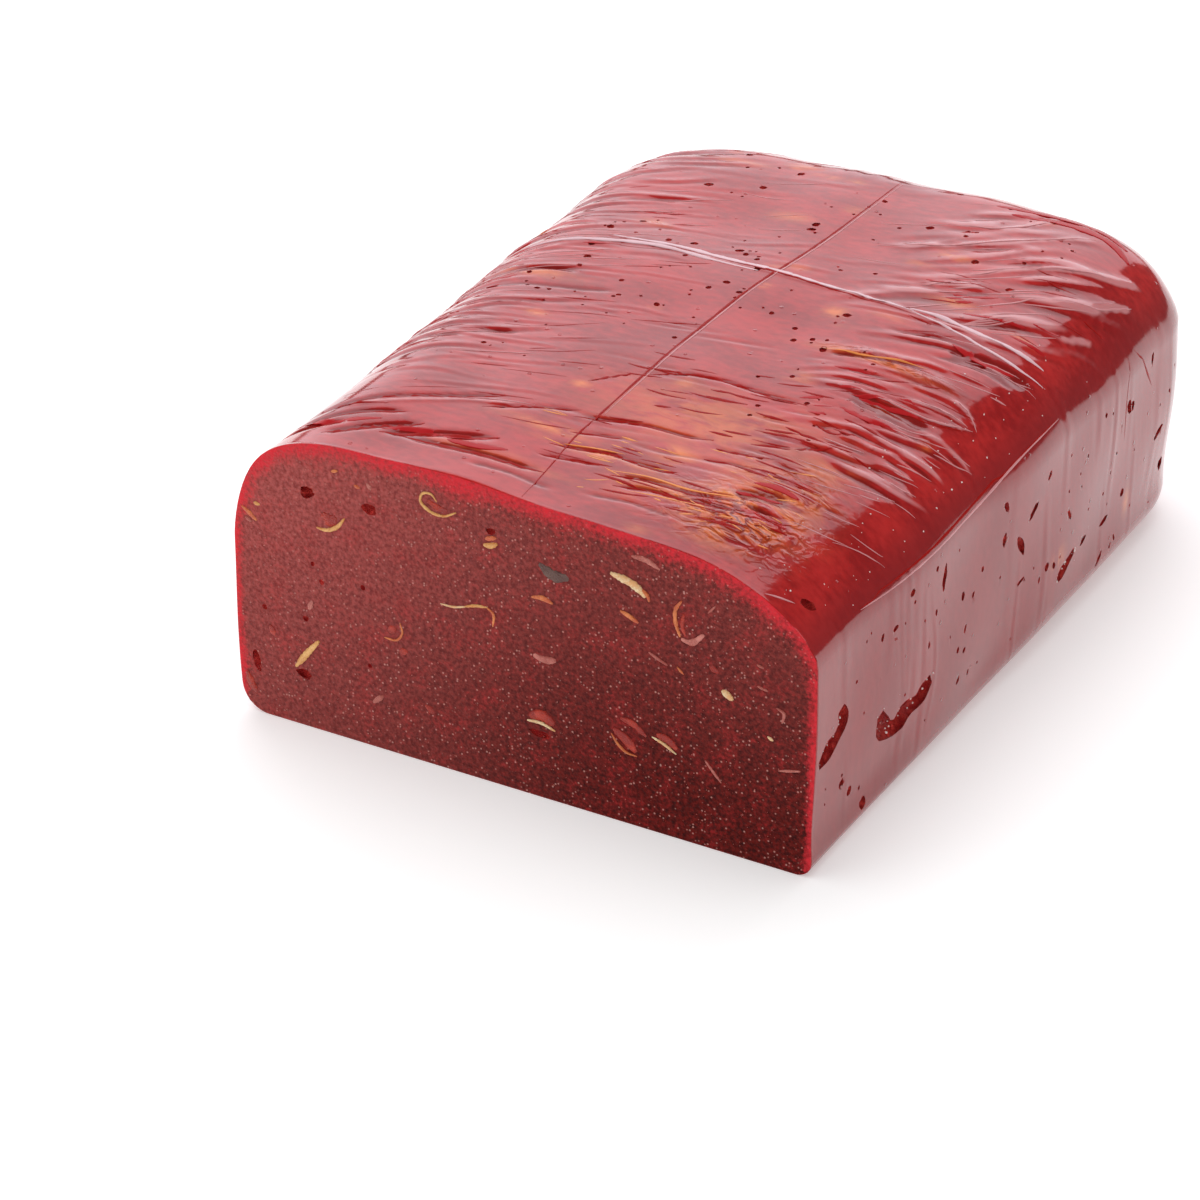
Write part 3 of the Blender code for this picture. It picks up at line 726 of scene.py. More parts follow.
class Nodes:
    """A node tree's nodes, added one by one and joined by name."""

    def __init__(self, tree):
        self.tree = tree

    def add(self, kind, inputs=None, **settings):
        """Add a node, set it up, and give its inputs values or other nodes' outputs."""
        node = self.tree.nodes.new(kind)
        for name, value in settings.items():
            setattr(node, name, value)
        for name, source in (inputs or {}).items():
            self.feed(live_socket(node.inputs, name), source)
        return node

    def feed(self, socket, source):
        """Give an input a value, a colour without its alpha, or another node's output."""
        if isinstance(source, bpy.types.NodeSocket):
            self.tree.links.new(source, socket)
        elif socket.type == "RGBA":
            socket.default_value = (*source, 1.0)
        else:
            socket.default_value = source

    def mix(self, factor, a, b):
        """A colour between two colours."""
        node = self.add("ShaderNodeMix", data_type="RGBA")
        for name, source in {"Factor": factor, "A": a, "B": b}.items():
            self.feed(live_socket(node.inputs, name), source)
        return live_socket(node.outputs, "Result")

    def ramp(self, value, low, high, to_low=0.0, to_high=1.0):
        """A value's place between two others, eased."""
        inputs = {"Value": value, "From Min": low, "From Max": high, "To Min": to_low, "To Max": to_high}
        return self.add("ShaderNodeMapRange", inputs, interpolation_type="SMOOTHSTEP").outputs[0]

    def math(self, operation, a, b):
        """Two values worked into one."""
        node = self.add("ShaderNodeMath", operation=operation)
        self.feed(node.inputs[0], a)
        self.feed(node.inputs[1], b)
        return node.outputs[0]

    def blend(self, a, share_a, b, share_b):
        """Two values added up by their shares."""
        return self.math("ADD", self.math("MULTIPLY", a, share_a), self.math("MULTIPLY", b, share_b))

    def rare_dots(self, cells, rare, close):
        """The middles of a few of some cells, as one mask."""
        chosen = self.add("ShaderNodeSeparateColor", {"Color": cells.outputs["Color"]})
        few = self.ramp(chosen.outputs[0], *rare)
        return self.math("MULTIPLY", few, self.ramp(cells.outputs["Distance"], *close))

    def stretch(self, vector, scale):
        """A place stretched or squeezed each way."""
        node = self.add("ShaderNodeVectorMath", operation="MULTIPLY")
        self.feed(node.inputs[0], vector)
        self.feed(node.inputs[1], scale)
        return node.outputs[0]

    def noise(self, vector, scale, detail=2.0, distortion=0.0):
        """Cloudy noise from 0 to 1."""
        inputs = {"Vector": vector, "Scale": scale, "Detail": detail, "Distortion": distortion}
        return self.add("ShaderNodeTexNoise", inputs).outputs[0]

    def mask(self, name):
        """A value that the mesh keeps for each point."""
        return self.add("ShaderNodeAttribute", attribute_name=name).outputs["Fac"]

    def group(self, tree, **inputs):
        """One of the shared effects."""
        node = self.add("ShaderNodeGroup", node_tree=tree)
        for name, source in inputs.items():
            self.feed(node.inputs[name], source)
        return node

    def bump(self, height, distance, strength=1.0, normal=None):
        """A surface made uneven by a height from 0 to 1 that stands for a distance."""
        inputs = {"Height": height, "Distance": distance, "Strength": strength}
        node = self.add("ShaderNodeBump", inputs)
        if normal is not None:
            self.feed(node.inputs["Normal"], normal)
        return node.outputs[0]


def live_socket(sockets, name):
    """The socket of that name that the node's settings have left in use."""
    return next(socket for socket in sockets if socket.enabled and socket.name == name)


def new_group(name, inputs, outputs):
    """An empty shared effect with named inputs and outputs."""
    tree = bpy.data.node_groups.new(name, "ShaderNodeTree")
    for label, kind in inputs.items():
        tree.interface.new_socket(label, in_out="INPUT", socket_type=kind)
    for label, kind in outputs.items():
        tree.interface.new_socket(label, in_out="OUTPUT", socket_type=kind)
    nodes = Nodes(tree)
    entry = nodes.add("NodeGroupInput").outputs
    leave = nodes.add("NodeGroupOutput").inputs
    return tree, nodes, entry, leave


# The kinds of sockets that the shared effects have
NUMBER = "NodeSocketFloat"
PLACE = "NodeSocketVector"


def paste_mottle():
    """Cloudy patches over finer flecks, as one mask."""
    sockets = {"Vector": PLACE, "Scale": NUMBER}
    tree, nodes, entry, leave = new_group("paste_mottle", sockets, {"Mask": NUMBER})
    broad = nodes.noise(entry["Vector"], entry["Scale"], 3.0)
    finer = nodes.noise(entry["Vector"], nodes.math("MULTIPLY", entry["Scale"], 9.0), 2.0)
    nodes.feed(leave["Mask"], nodes.ramp(nodes.blend(broad, 0.62, finer, 0.38), 0.34, 0.66))
    return tree


def paste_grain():
    """The grain of the fruit: a height for bumps, and a mask of pale stone cells."""
    sockets = {"Vector": PLACE, "Scale": NUMBER}
    outputs = {"Height": NUMBER, "Flecks": NUMBER}
    tree, nodes, entry, leave = new_group("paste_grain", sockets, outputs)
    rough = nodes.noise(entry["Vector"], entry["Scale"], 4.0)
    cells = nodes.add("ShaderNodeTexVoronoi", {"Vector": entry["Vector"], "Scale": entry["Scale"]})
    nodes.feed(leave["Flecks"], nodes.rare_dots(cells, (0.84, 0.90), (0.45, 0.15)))
    lumps = nodes.ramp(cells.outputs["Distance"], 0.7, 0.0)
    nodes.feed(leave["Height"], nodes.blend(rough, 0.5, lumps, 0.5))
    return tree


def fine_wrinkles():
    """Fine wrinkles that run across the skin, and small dots that stand up or lie sunk in it."""
    outputs = {"Height": NUMBER, "Specks": NUMBER}
    tree, nodes, entry, leave = new_group("fine_wrinkles", {"Vector": PLACE}, outputs)
    turned = nodes.add("ShaderNodeVectorRotate", {"Vector": entry["Vector"], "Angle": math.radians(-9.0)})
    long = nodes.stretch(turned.outputs[0], (0.10, 1.0, 1.0))
    fine = nodes.noise(long, 900.0, 2.0, 0.6)
    broad = nodes.noise(long, 260.0, 2.0, 0.8)
    nodes.feed(leave["Height"], nodes.blend(fine, 0.35, broad, 0.65))
    cells = nodes.add("ShaderNodeTexVoronoi", {"Vector": entry["Vector"], "Scale": 330.0})
    nodes.feed(leave["Specks"], nodes.rare_dots(cells, (0.72, 0.78), (0.16, 0.05)))
    return tree


# How light spreads under the paste's surface, red deepest
LIGHT_INSIDE = {"Subsurface Radius": (1.0, 0.16, 0.10), "Subsurface Scale": 0.003}


def new_material(name, constants):
    """A material with only a Principled shader in it, and that shader's constant values."""
    material = bpy.data.materials.new(name)
    material.use_nodes = True
    shader = material.node_tree.nodes["Principled BSDF"]
    nodes = Nodes(material.node_tree)
    for socket, value in constants.items():
        nodes.feed(shader.inputs[socket], value)
    return material, nodes, shader


def mottled_material(name, mottle, tones, scale, relief, constants):
    """A material of two tones in cloudy patches, which make it uneven too."""
    material, nodes, shader = new_material(name, constants)
    place = nodes.add("ShaderNodeTexCoord").outputs["Object"]
    patches = nodes.group(mottle, Vector=place, Scale=scale).outputs["Mask"]
    nodes.feed(shader.inputs["Base Color"], nodes.mix(patches, *tones))
    nodes.feed(shader.inputs["Normal"], nodes.bump(patches, relief))
    return material


def skin_material(mottle, wrinkles):
    """Glossy, slightly see-through red skin with orange glows and a crackled patch; its grooves carry
    painted shade and its ridge crests are pale as painted highlights.
    """
    constants = {"IOR": 1.5, "Coat Roughness": 0.10, "Subsurface Weight": 0.25, **LIGHT_INSIDE}
    material, nodes, shader = new_material("paste_skin", constants)
    flat = nodes.add("ShaderNodeAttribute", attribute_name="skin_place").outputs["Vector"]
    streaked = nodes.stretch(flat, (0.5, 1.0, 1.0))
    patches = nodes.group(mottle, Vector=streaked, Scale=90.0).outputs["Mask"]
    colour = nodes.mix(patches, (0.29, 0.005, 0.006), (0.50, 0.018, 0.017))
    down = nodes.add("ShaderNodeSeparateXYZ", {"Vector": flat}).outputs["X"]
    on_side = nodes.ramp(nodes.math("ABSOLUTE", down, 0.0), 52.0 * MM, 62.0 * MM, 0.0, 0.75)
    colour = nodes.mix(on_side, colour, (0.25, 0.010, 0.012))
    cloudy = nodes.ramp(nodes.noise(streaked, 260.0, 4.0, 0.5), 0.34, 0.58)
    glow = nodes.math("MULTIPLY", nodes.mask("glow"), cloudy)
    colour = nodes.mix(glow, colour, (0.80, 0.20, 0.035))
    relief = nodes.mask("relief")
    # Painted shade and highlight: grooves turn dark red as shade, ridge crests pale pink as highlights.
    colour = nodes.mix(nodes.ramp(relief, -0.04, -0.24, 0.0, 0.8), colour, (0.20, 0.004, 0.003))
    colour = nodes.mix(nodes.ramp(relief, 0.05, 0.26, 0.0, 0.75), colour, (0.66, 0.28, 0.29))
    meander = nodes.noise(nodes.stretch(flat, (0.6, 1.0, 1.0)), 430.0, 1.5, 1.2)
    away = nodes.math("ABSOLUTE", nodes.math("SUBTRACT", meander, 0.5), 0.0)
    lines = nodes.math("MULTIPLY", nodes.ramp(away, 0.075, 0.025), nodes.mask("crackle"))
    colour = nodes.mix(lines, colour, (0.24, 0.010, 0.004))
    nodes.feed(shader.inputs["Base Color"], colour)
    creased = nodes.group(wrinkles, Vector=flat)
    normal = nodes.bump(creased.outputs["Height"], 0.045 * MM)
    normal = nodes.bump(creased.outputs["Specks"], 0.16 * MM, normal=normal)
    rippled = nodes.math("MULTIPLY", meander, nodes.mask("crackle"))
    normal = nodes.bump(rippled, 1.6 * MM, normal=normal)
    nodes.feed(shader.inputs["Normal"], normal)
    nodes.feed(shader.inputs["Roughness"], nodes.ramp(patches, 0.0, 1.0, 0.07, 0.12))
    nodes.feed(shader.inputs["Coat Weight"], nodes.ramp(nodes.mask("crackle"), 0.0, 0.8, 0.30, 0.0))
    return material


def strand_material(name, colour, shine):
    """A strand or speck on the skin."""
    constants = {"Base Color": colour, "Roughness": 0.22, "Specular IOR Level": shine}
    return new_material(f"skin_{name}", constants)[0]


def cut_material(mottle, grain):
    """Matt, fine-grained paste with painted shade towards the lower right, and a rim painted bright red
    as the glow of light through the thin edge.
    """
    constants = {"Specular IOR Level": 0.10, "Subsurface Weight": 0.2, **LIGHT_INSIDE}
    material, nodes, shader = new_material("paste_cut", constants)
    place = nodes.add("ShaderNodeTexCoord").outputs["Object"]
    parts = nodes.add("ShaderNodeSeparateXYZ", {"Vector": place})
    # Painted shade: the colour runs from a lit copy (pale) at the upper left to a shaded copy at the
    # lower right.
    to_right = nodes.ramp(parts.outputs["X"], -55.0 * MM, 30.0 * MM)
    to_base = nodes.ramp(parts.outputs["Z"], 52.0 * MM, 4.0 * MM)
    painted_shade = nodes.blend(to_right, 0.62, to_base, 0.38)
    patches = nodes.group(mottle, Vector=place, Scale=1400.0).outputs["Mask"]
    pale = nodes.mix(patches, (0.25, 0.040, 0.037), (0.48, 0.108, 0.096))
    shaded_copy_tone = nodes.mix(patches, (0.036, 0.001, 0.001), (0.165, 0.008, 0.005))
    colour = nodes.mix(painted_shade, pale, shaded_copy_tone)
    clumps = nodes.group(mottle, Vector=place, Scale=170.0).outputs["Mask"]
    colour = nodes.mix(nodes.ramp(clumps, 0.45, 1.0, 0.0, 0.16), colour, (0.36, 0.022, 0.020))
    stones = nodes.group(grain, Vector=place, Scale=1900.0)
    # Pale stone cells, partly real and partly painted highlights standing in for tiny glints, stronger
    # where the painted shade is.
    stone_cells_and_glints = nodes.math("MULTIPLY", stones.outputs["Flecks"], nodes.ramp(painted_shade, 0.0, 0.6, 0.16, 0.65))
    colour = nodes.mix(stone_cells_and_glints, colour, (0.70, 0.33, 0.28))
    # Painted light: the cut face turns bright red near its edge, as the glow of light coming through it,
    # with a ragged inner boundary.
    ragged = nodes.blend(patches, 0.55, clumps, 0.40)
    uneven = nodes.math("ADD", nodes.mask("rim"), nodes.math("SUBTRACT", ragged, 0.49))
    colour = nodes.mix(nodes.ramp(uneven, 0.05, 1.25), colour, (0.66, 0.027, 0.040))
    nodes.feed(shader.inputs["Base Color"], colour)
    nodes.feed(shader.inputs["Normal"], nodes.bump(stones.outputs["Height"], 0.22 * MM, 0.8))
    nodes.feed(shader.inputs["Roughness"], nodes.ramp(stone_cells_and_glints, 0.0, 0.6, 0.55, 0.30))
    return material


def hollow_material(mottle):
    """The wet, dark wall of a hollow."""
    tones = (0.40, 0.012, 0.014), (0.76, 0.055, 0.045)
    constants = {"Roughness": 0.10, "Specular IOR Level": 0.22}
    return mottled_material("paste_hollow", mottle, tones, 700.0, 0.9 * MM, constants)


# Peel in the cut face, by colour: dark and light tone
PEEL_TONES = {
    "gold": ((0.64, 0.22, 0.05), (0.90, 0.52, 0.18)),
    "orange": ((0.55, 0.09, 0.03), (0.78, 0.24, 0.07)),
    "red": ((0.26, 0.008, 0.004), (0.50, 0.036, 0.014)),
    "cream": ((0.80, 0.40, 0.16), (0.95, 0.76, 0.46)),
    "pink": ((0.38, 0.07, 0.05), (0.62, 0.20, 0.16)),
    "green": ((0.09, 0.028, 0.022), (0.14, 0.070, 0.052)),
}


def peel_material(tone, mottle):
    """A shred of peel or pulp of one colour."""
    tones = PEEL_TONES[tone]
    return mottled_material(f"peel_{tone}", mottle, tones, 500.0, 0.15 * MM, {"Roughness": 0.32})


# The shreds, by colour: route across and up in mm, width in the middle, and how proud they stand
SHREDS = {
    "gold": (
        (((-13.7, 48.4), (-14.7, 49.5), (-16.3, 49.2), (-16.7, 47.9), (-15.3, 46.6),
          (-12.6, 46.2), (-10.2, 47.4)), 0.55, 0.32),
        (((-36.4, 38), (-34.6, 38), (-32.6, 39), (-31, 41)), 0.75, 0.36),
        (((-5.3, 43.1), (-4, 43.3), (-2.8, 43.9)), 1.1, 0.4),
        (((-36.9, 17), (-38.8, 14.7), (-41.7, 10.9)), 1.25, 0.38),
        (((-9, 31.1), (-7, 31.8), (-4.8, 32.1)), 0.55, 0.28),
        (((-48.4, 39.4), (-47.2, 39.3)), 0.7, 0.26),
    ),
    "orange": (
        (((-5, 44.2), (-3, 44.9)), 0.9, 0.22),
        (((-5, 32.1), (-3.8, 31.2), (-3.9, 28.9)), 0.5, 0.22),
        (((-24.2, 21.3), (-21.9, 21.4), (-20.8, 23), (-21.2, 24.7)), 0.48, 0.24),
        (((-50.8, 38.2), (-49.2, 37.2), (-48, 36.2)), 0.9, 0.22),
        (((22.4, 42.9), (23.7, 41.9), (23.9, 41)), 0.7, 0.3),
        (((29.5, 42.7), (28.5, 41), (28.5, 38.8), (29.3, 36.4)), 0.75, 0.34),
        (((18.9, 38.1), (20.4, 37.6), (22.1, 36.8)), 0.85, 0.28),
        (((3.2, 36.2), (5.3, 36.5), (7, 36)), 0.9, 0.24), (((28.8, 31), (30, 30)), 0.45, 0.18),
        (((17.4, 15.8), (18.6, 14.2), (20, 13.2), (22, 12.9)), 0.45, 0.34),
        (((-33.2, 48.8), (-32, 49.2)), 0.6, 0.22), (((-29, 47.4), (-27.9, 47.2)), 0.6, 0.22),
    ),
    "red": (
        (((-15.4, 48.2), (-13.4, 47.4), (-11.8, 47.3)), 1.3, 0.1),
        (((-35.4, 40.6), (-33.6, 40), (-32.6, 40.8)), 2.3, 0.12),
        (((-23.4, 22.6), (-22, 23.6)), 1.6, 0.1),
        (((-51.4, 7.2), (-50.6, 5), (-49.4, 3.6)), 1.6, 0.3),
        (((29.9, 40.6), (29.7, 38.2), (30.2, 36.8)), 0.8, 0.22),
        (((2.6, 14.6), (4.8, 15.3), (7.1, 14.2)), 2.3, 0.24),
        (((17.8, 16.8), (20, 15.4), (21.8, 13.6)), 1.9, 0.22),
        (((19, 19), (21.2, 18.6), (23.6, 17)), 1.2, 0.16),
        (((25.4, 17.9), (27.4, 17.5), (29, 16.3)), 1.6, 0.22),
        (((-46.4, 17.4), (-45.6, 15.6)), 1.2, 0.14), (((-21.4, 19.4), (-19.9, 19.9)), 1.3, 0.14),
        (((-16.8, 10.8), (-15, 9.8)), 1.2, 0.16), (((34.4, 32.8), (36, 32)), 1.1, 0.14),
    ),
    "cream": (
        (((-13.5, 30.4), (-11, 30.5), (-8.6, 31.2)), 0.42, 0.22),
        (((17.2, 44.2), (18.8, 43.9), (20.6, 43.5), (22, 42.8), (23.3, 41.6)), 1.55, 0.48),
        (((36.6, 29.1), (37.6, 28.6), (38.5, 27.9)), 1.3, 0.48),
        (((2.2, 13.7), (4.8, 13.9), (7.3, 13.1)), 0.62, 0.38),
        (((24.6, 17.3), (26.8, 16.6), (28.9, 15.4)), 0.5, 0.36),
        (((44.5, 23.3), (45.5, 22.8)), 0.6, 0.26),
    ),
    "pink": (
        (((-50.2, 36.4), (-49, 35.8)), 0.8, 0.2),
        (((29.5, 36.1), (31, 35.9), (33.4, 37.9)), 1.1, 0.26),
        (((3.4, 25.9), (5.5, 25.6), (7.5, 26)), 1.5, 0.14),
        (((23.9, 32.2), (25.5, 31.5), (27.2, 30.8)), 0.6, 0.2),
        (((45.9, 28.7), (47.1, 28.2), (46.9, 26.3)), 0.6, 0.26),
        (((33.9, 15.8), (36.8, 12.6)), 0.5, 0.18), (((46.5, 17.8), (50.2, 18.8)), 0.5, 0.18),
        (((20.8, 48.1), (23.5, 48), (25.7, 47)), 1.1, 0.16),
        (((-37.9, 24.2), (-38.6, 22.4)), 1, 0.14), (((-26.8, 8.4), (-24.8, 10.2)), 1, 0.16),
        (((-26.6, 48.4), (-25.8, 47.4)), 0.8, 0.18), (((34, 41.8), (35.3, 43.4)), 0.4, 0.16),
        (((42.4, 35.3), (43.6, 35)), 0.6, 0.22), (((42.6, 31.6), (44.4, 31.2)), 0.5, 0.22),
    ),
    "green": (
        (((4.6, 42.4), (7.2, 41), (9.9, 41.3)), 2.1, 0.08),
    ),
}
SWEEP_SIDES = 10
SHRED_SEED = 23
SHRED_STEP = 0.35
SHRED_TAPER = (0.06, 0.6)


def even_points(route, step):
    """Points a step apart on a smooth curve through a route's points."""
    knots = np.array(route)
    at = np.concatenate([[0.0], np.cumsum(np.linalg.norm(np.diff(knots, axis=0), axis=1))])
    slopes = np.gradient(knots, at, axis=0)
    points = []
    for place in np.linspace(0.0, at[-1], max(5, round(at[-1] / step) + 1)):
        part = min(np.searchsorted(at, place, side="right") - 1, len(at) - 2)
        run = at[part + 1] - at[part]
        t = (place - at[part]) / run
        rise = smooth(t)
        bend = t * (1.0 - t) * run * ((1.0 - t) * slopes[part] - t * slopes[part + 1])
        points.append((1.0 - rise) * knots[part] + rise * knots[part + 1] + bend)
    return np.array(points)


def taper(count, end, power):
    """Widths that swell from both ends of a sweep to its middle."""
    return np.sin(math.pi * np.linspace(end, 1.0 - end, count)) ** power


def add_part(bm, part):
    """Add one finished bmesh to another."""
    mesh = bpy.data.meshes.new("part")
    part.to_mesh(mesh)
    part.free()
    bm.from_mesh(mesh)
    bpy.data.meshes.remove(mesh)


def add_sweep(bm, points, normals, widths, heights):
    """Sweep an oval section along some points, with its own width and height at each."""
    rod = bmesh.new()
    bmesh.ops.create_cone(
        rod, cap_ends=True, segments=SWEEP_SIDES, radius1=1.0, radius2=1.0, depth=2.0)
    edges = [e for e in rod.edges if abs(e.verts[0].co.z - e.verts[1].co.z) > 1.0]
    bmesh.ops.subdivide_edges(rod, edges=edges, cuts=len(points) - 2, use_grid_fill=True)
    tangents = np.gradient(points, axis=0)
    for vert in rod.verts:
        step = round((vert.co.z + 1.0) / 2.0 * (len(points) - 1))
        normal = Vector(normals[step])
        side = normal.cross(Vector(tangents[step])).normalized()
        across = side * (vert.co.x * widths[step] / 2.0)
        vert.co = Vector(points[step]) + across + normal * (vert.co.y * heights[step])
    add_part(bm, rod)


def make_shreds(mottle):
    """Shreds of peel and pulp, pressed half into the cut face, one piece for each colour."""
    random = np.random.default_rng(SHRED_SEED)
    pieces = []
    for tone in PEEL_TONES:
        bm = bmesh.new()
        for route, width, proud in SHREDS[tone]:
            flat = even_points(route, SHRED_STEP)
            count = len(flat)
            points = np.stack([flat[:, 0], np.full(count, CUT_Y / MM), flat[:, 1]], 1)
            points[:, 0] += MIDDLE_X / MM
            swell = taper(count, *SHRED_TAPER)
            widths = width * swell * random.uniform(0.8, 1.15, count)
            heights = np.minimum(proud * swell * random.uniform(0.75, 1.0, count), PEEL_PROUD / MM)
            normals = np.tile((0.0, -1.0, 0.0), (count, 1))
            add_sweep(bm, points * MM, normals, widths * MM, heights * MM)
        pieces.append(smooth_piece(f"peel_{tone}", bm, peel_material(tone, mottle)))
    return pieces


# Grains that stand out of the cut face
GRAIN_SEED = 31
GRAIN_BATCHES = 20
GRAINS_IN_BATCH = 60
GRAIN_SIZE = (0.04, 0.16)
GRAIN_ACROSS = (-51.0, 51.0)
GRAIN_UP = (1.5, 51.0)
GRAIN_BELOW_TOP = 1.2


def make_grains(mottle):
    """Stone cells and sugar that the knife left standing in the cut face."""
    bm = bmesh.new()
    random = np.random.default_rng(GRAIN_SEED)
    path = outline(CUT_SECTION)
    top = path[FOOT_POINTS:-FOOT_POINTS]
    for _ in range(GRAIN_BATCHES):
        batch = bmesh.new()
        for _ in range(GRAINS_IN_BATCH):
            x = random.uniform(*GRAIN_ACROSS)
            z = random.uniform(*GRAIN_UP)
            seen = 0.25 + 0.75 * smooth((x - z + 90.0) / 120.0)
            ceiling = np.interp(x * MM, top[:, 0], top[:, 1]) / MM
            if z > ceiling - GRAIN_BELOW_TOP or random.random() > seen:
                continue
            size = mostly_small(random, *GRAIN_SIZE, 3) * MM
            grain = bmesh.ops.create_icosphere(batch, subdivisions=1, radius=size)["verts"]
            bmesh.ops.scale(batch, verts=grain, vec=random.uniform(0.6, 1.4, 3))
            bmesh.ops.translate(batch, verts=grain, vec=(x * MM + MIDDLE_X, CUT_Y, z * MM))
        add_part(bm, batch)
    return smooth_piece("cut_grains", bm, peel_material("pink", mottle))


def shifted(route, across):
    """A route moved across the skin."""
    return tuple((u + across, v) for u, v in route)


# The fold down the right shoulder
SIDE_FOLD = ((62.6, -60), (63.8, -50), (64.4, -38), (63.8, -22), (62.8, -6), (62.4, 10))

# Strands on the skin that show one by one, by tone: route in the skin's place, and width in mm.
# The pale ones on folds and on the cross band are painted highlights; the dark red ones beside folds and
# along grooves are painted shade.
STRANDS = {
    "fold": (
        (shifted(LONG_SEAM[3:], 0.25), 0.36),
        *((route, 0.4) for route, _, _ in RIDGES[5:7]),
        (((34.5, 38), (41.5, 43), (47.5, 48)), 0.5),
        *((route, 0.45) for route, _, _ in (RIDGES[8], *RIDGES[1:4])),
        (RIDGES[4][0], 0.4),
        (((-42, -61), (-33, -56.8), (-23, -51.6), (-12, -48.4)), 0.45),
        (((45.6, -74.6), (48.6, -73), (51.4, -71.6)), 0.4),
        (SIDE_FOLD, 0.5),
    ),
    "band": (
        (((-46, 7), (-36, 11.6), (-28.5, 14.2), (-14, 14.6), (-4, 13.8)), 1.0),
        (((-34, 15.6), (-20, 16.8), (-5, 15.6), (8, 14.4), (18, 13.2), (26, 12.5)), 1.5),
        (((25, 13.4), (32.7, 13.9), (38, 13), (44, 13.2), (51, 14.2)), 1.3),
        (((26, 12.2), (33, 11.4), (40.2, 9.8), (46.2, 9.6), (54, 10.8)), 0.7),
    ),
    "painted_shade_line": (
        (shifted(LONG_SEAM, -0.35), 0.58),
        (((-34, 14.9), (-20, 16), (-5, 14.8), (8, 13.6), (18, 12.4), (26, 11.7)), 0.55),
        (shifted(SIDE_FOLD, -0.9), 0.6),
        (((63, 38.2), (70, 37), (78.9, 37)), 0.45),
        (((62.9, 41.1), (68, 44.9), (73.3, 48.4)), 0.55),
        (((36, -14.8), (43.5, -12.6), (49, -12)), 0.4),
        (((33, -17.8), (43.5, -16), (50, -12)), 0.4),
        *((route, 0.85) for route, _, _ in GROOVES[:13]),
        *((route, 1.7 * half_width) for route, half_width, _ in GROOVES[15:22]),
    ),
    "gold": (
        (((8, -60.4), (14.3, -59), (22.5, -59.1), (30, -57)), 0.5),
        (((-2, -56.6), (3, -55.2), (8, -54.6)), 0.45),
        (((14, -64.4), (20, -63.3), (27, -62.6)), 0.4),
        (((19, -6.9), (26, -5.8), (31.5, -3.8), (36, -3)), 0.5),
    ),
    "bare": (
        (((20, 60.6), (27, 62.6), (34, 63.8), (40, 63.6), (45, 61)), 3.4),
        (((24, 58), (30, 60), (36, 61), (42, 60.4), (47, 57)), 3),
        (((36, 6.6), (42, 6.2), (47.5, 7.6)), 2.4), (((33, 17.4), (38, 19), (43, 21)), 1.4),
        (((31, -18.6), (36, -17.4), (41, -16.4)), 2),
        (((30, -23.4), (35, -23.8), (40, -22.6)), 1.5),
        (((-29.6, -66.8), (-24, -64.6), (-17, -63.8), (-11, -61)), 2),
        (((-18, -65.4), (-13, -65.2), (-8, -63.6)), 2.2),
        (((-48, -66), (-43, -66.6), (-38, -66.6), (-31, -64)), 1.8),
        (((29, -51.6), (33, -50.4), (36.5, -50.8)), 1.9),
        (((27.5, -55.8), (31, -54.2), (35, -53.4)), 1.2),
    ),
}

# Families of short strands, by tone: seed, count, u, v, length, heading, width.
# The pale fold ones are painted highlights, the dark red ones painted shade.
SHORT_STRANDS = {
    "fold": (
        (51, 34, (34, 54), (-58, 10), (4, 13), (4, 24), (0.2, 0.4)),
        (52, 26, (26, 45), (16, 42), (5, 14), (34, 52), (0.25, 0.55)),
        (53, 34, (-56, -26), (-44, 40), (6, 18), (20, 31), (0.2, 0.4)),
        (54, 10, (-30, 26), (20, 66), (5, 14), (0, 40), (0.2, 0.35)),
    ),
    "painted_shade_line": (
        (61, 70, (-4, 42), (-66, -20), (2.5, 9), (-4, 16), (0.35, 0.8)),
        (62, 30, (-44, -8), (-66, 30), (4, 14), (12, 30), (0.25, 0.45)),
        (63, 26, (24, 52), (-20, 40), (3, 10), (0, 40), (0.25, 0.5)),
    ),
    "gold": (
        (71, 30, (6, 40), (-68, -42), (1, 4.5), (-20, 30), (0.2, 0.45)),
        (72, 10, (-12, 10), (-58, -48), (1.5, 6), (-6, 14), (0.25, 0.5)),
    ),
    "bare": (
        (81, 14, (22, 46), (-30, 30), (3, 8), (4, 30), (0.6, 1.3)),
        (82, 8, (-52, -30), (-30, 40), (4, 9), (18, 30), (0.5, 0.9)),
    ),
}

# How strands are laid: seed, steps in mm, rounds of evening out, taper, bow and least height
STRAND_SEED = 2
STRAND_STEP = 0.6
EVENING = 4
STRAND_TAPER = (0.02, 0.6)
STRAND_BOW = (-0.12, 0.06)
STRAND_LEAST = 0.005

# The strands' tones: colour, how strongly they shine, and how proud they are for their width
STRAND_TONES = {
    # Pale as a painted highlight on fold crests.
    "fold": ((0.62, 0.24, 0.25), 0.5, 0.24),
    # Pale as a painted highlight on the raised cross band.
    "band": ((0.76, 0.49, 0.53), 0.5, 0.12),
    # Dark red as painted shade beside folds and along grooves.
    "painted_shade_line": ((0.33, 0.008, 0.006), 0.06, 0.06),
    "gold": ((0.78, 0.25, 0.06), 0.3, 0.05),
    "bare": ((0.44, 0.011, 0.014), 0.16, 0.025),
}

# Small raised beads on the right shoulder and in the wet hollows, painted pale as glints
SPECK_SEED = 8
SPECK_COUNT = 60
SPECKS_ACROSS = (40.0, 60.0)
SPECKS_ALONG = (-72.0, 20.0)
SPECKS_IN_HOLLOW = 26
SPECKS_OFF_MIDDLE = (-0.24, 0.24)
LARGER_IN_HOLLOW = 1.4
SPECK_SIZE = (0.05, 0.18)
PAINTED_GLINT_COLOUR = (0.92, 0.72, 0.69)


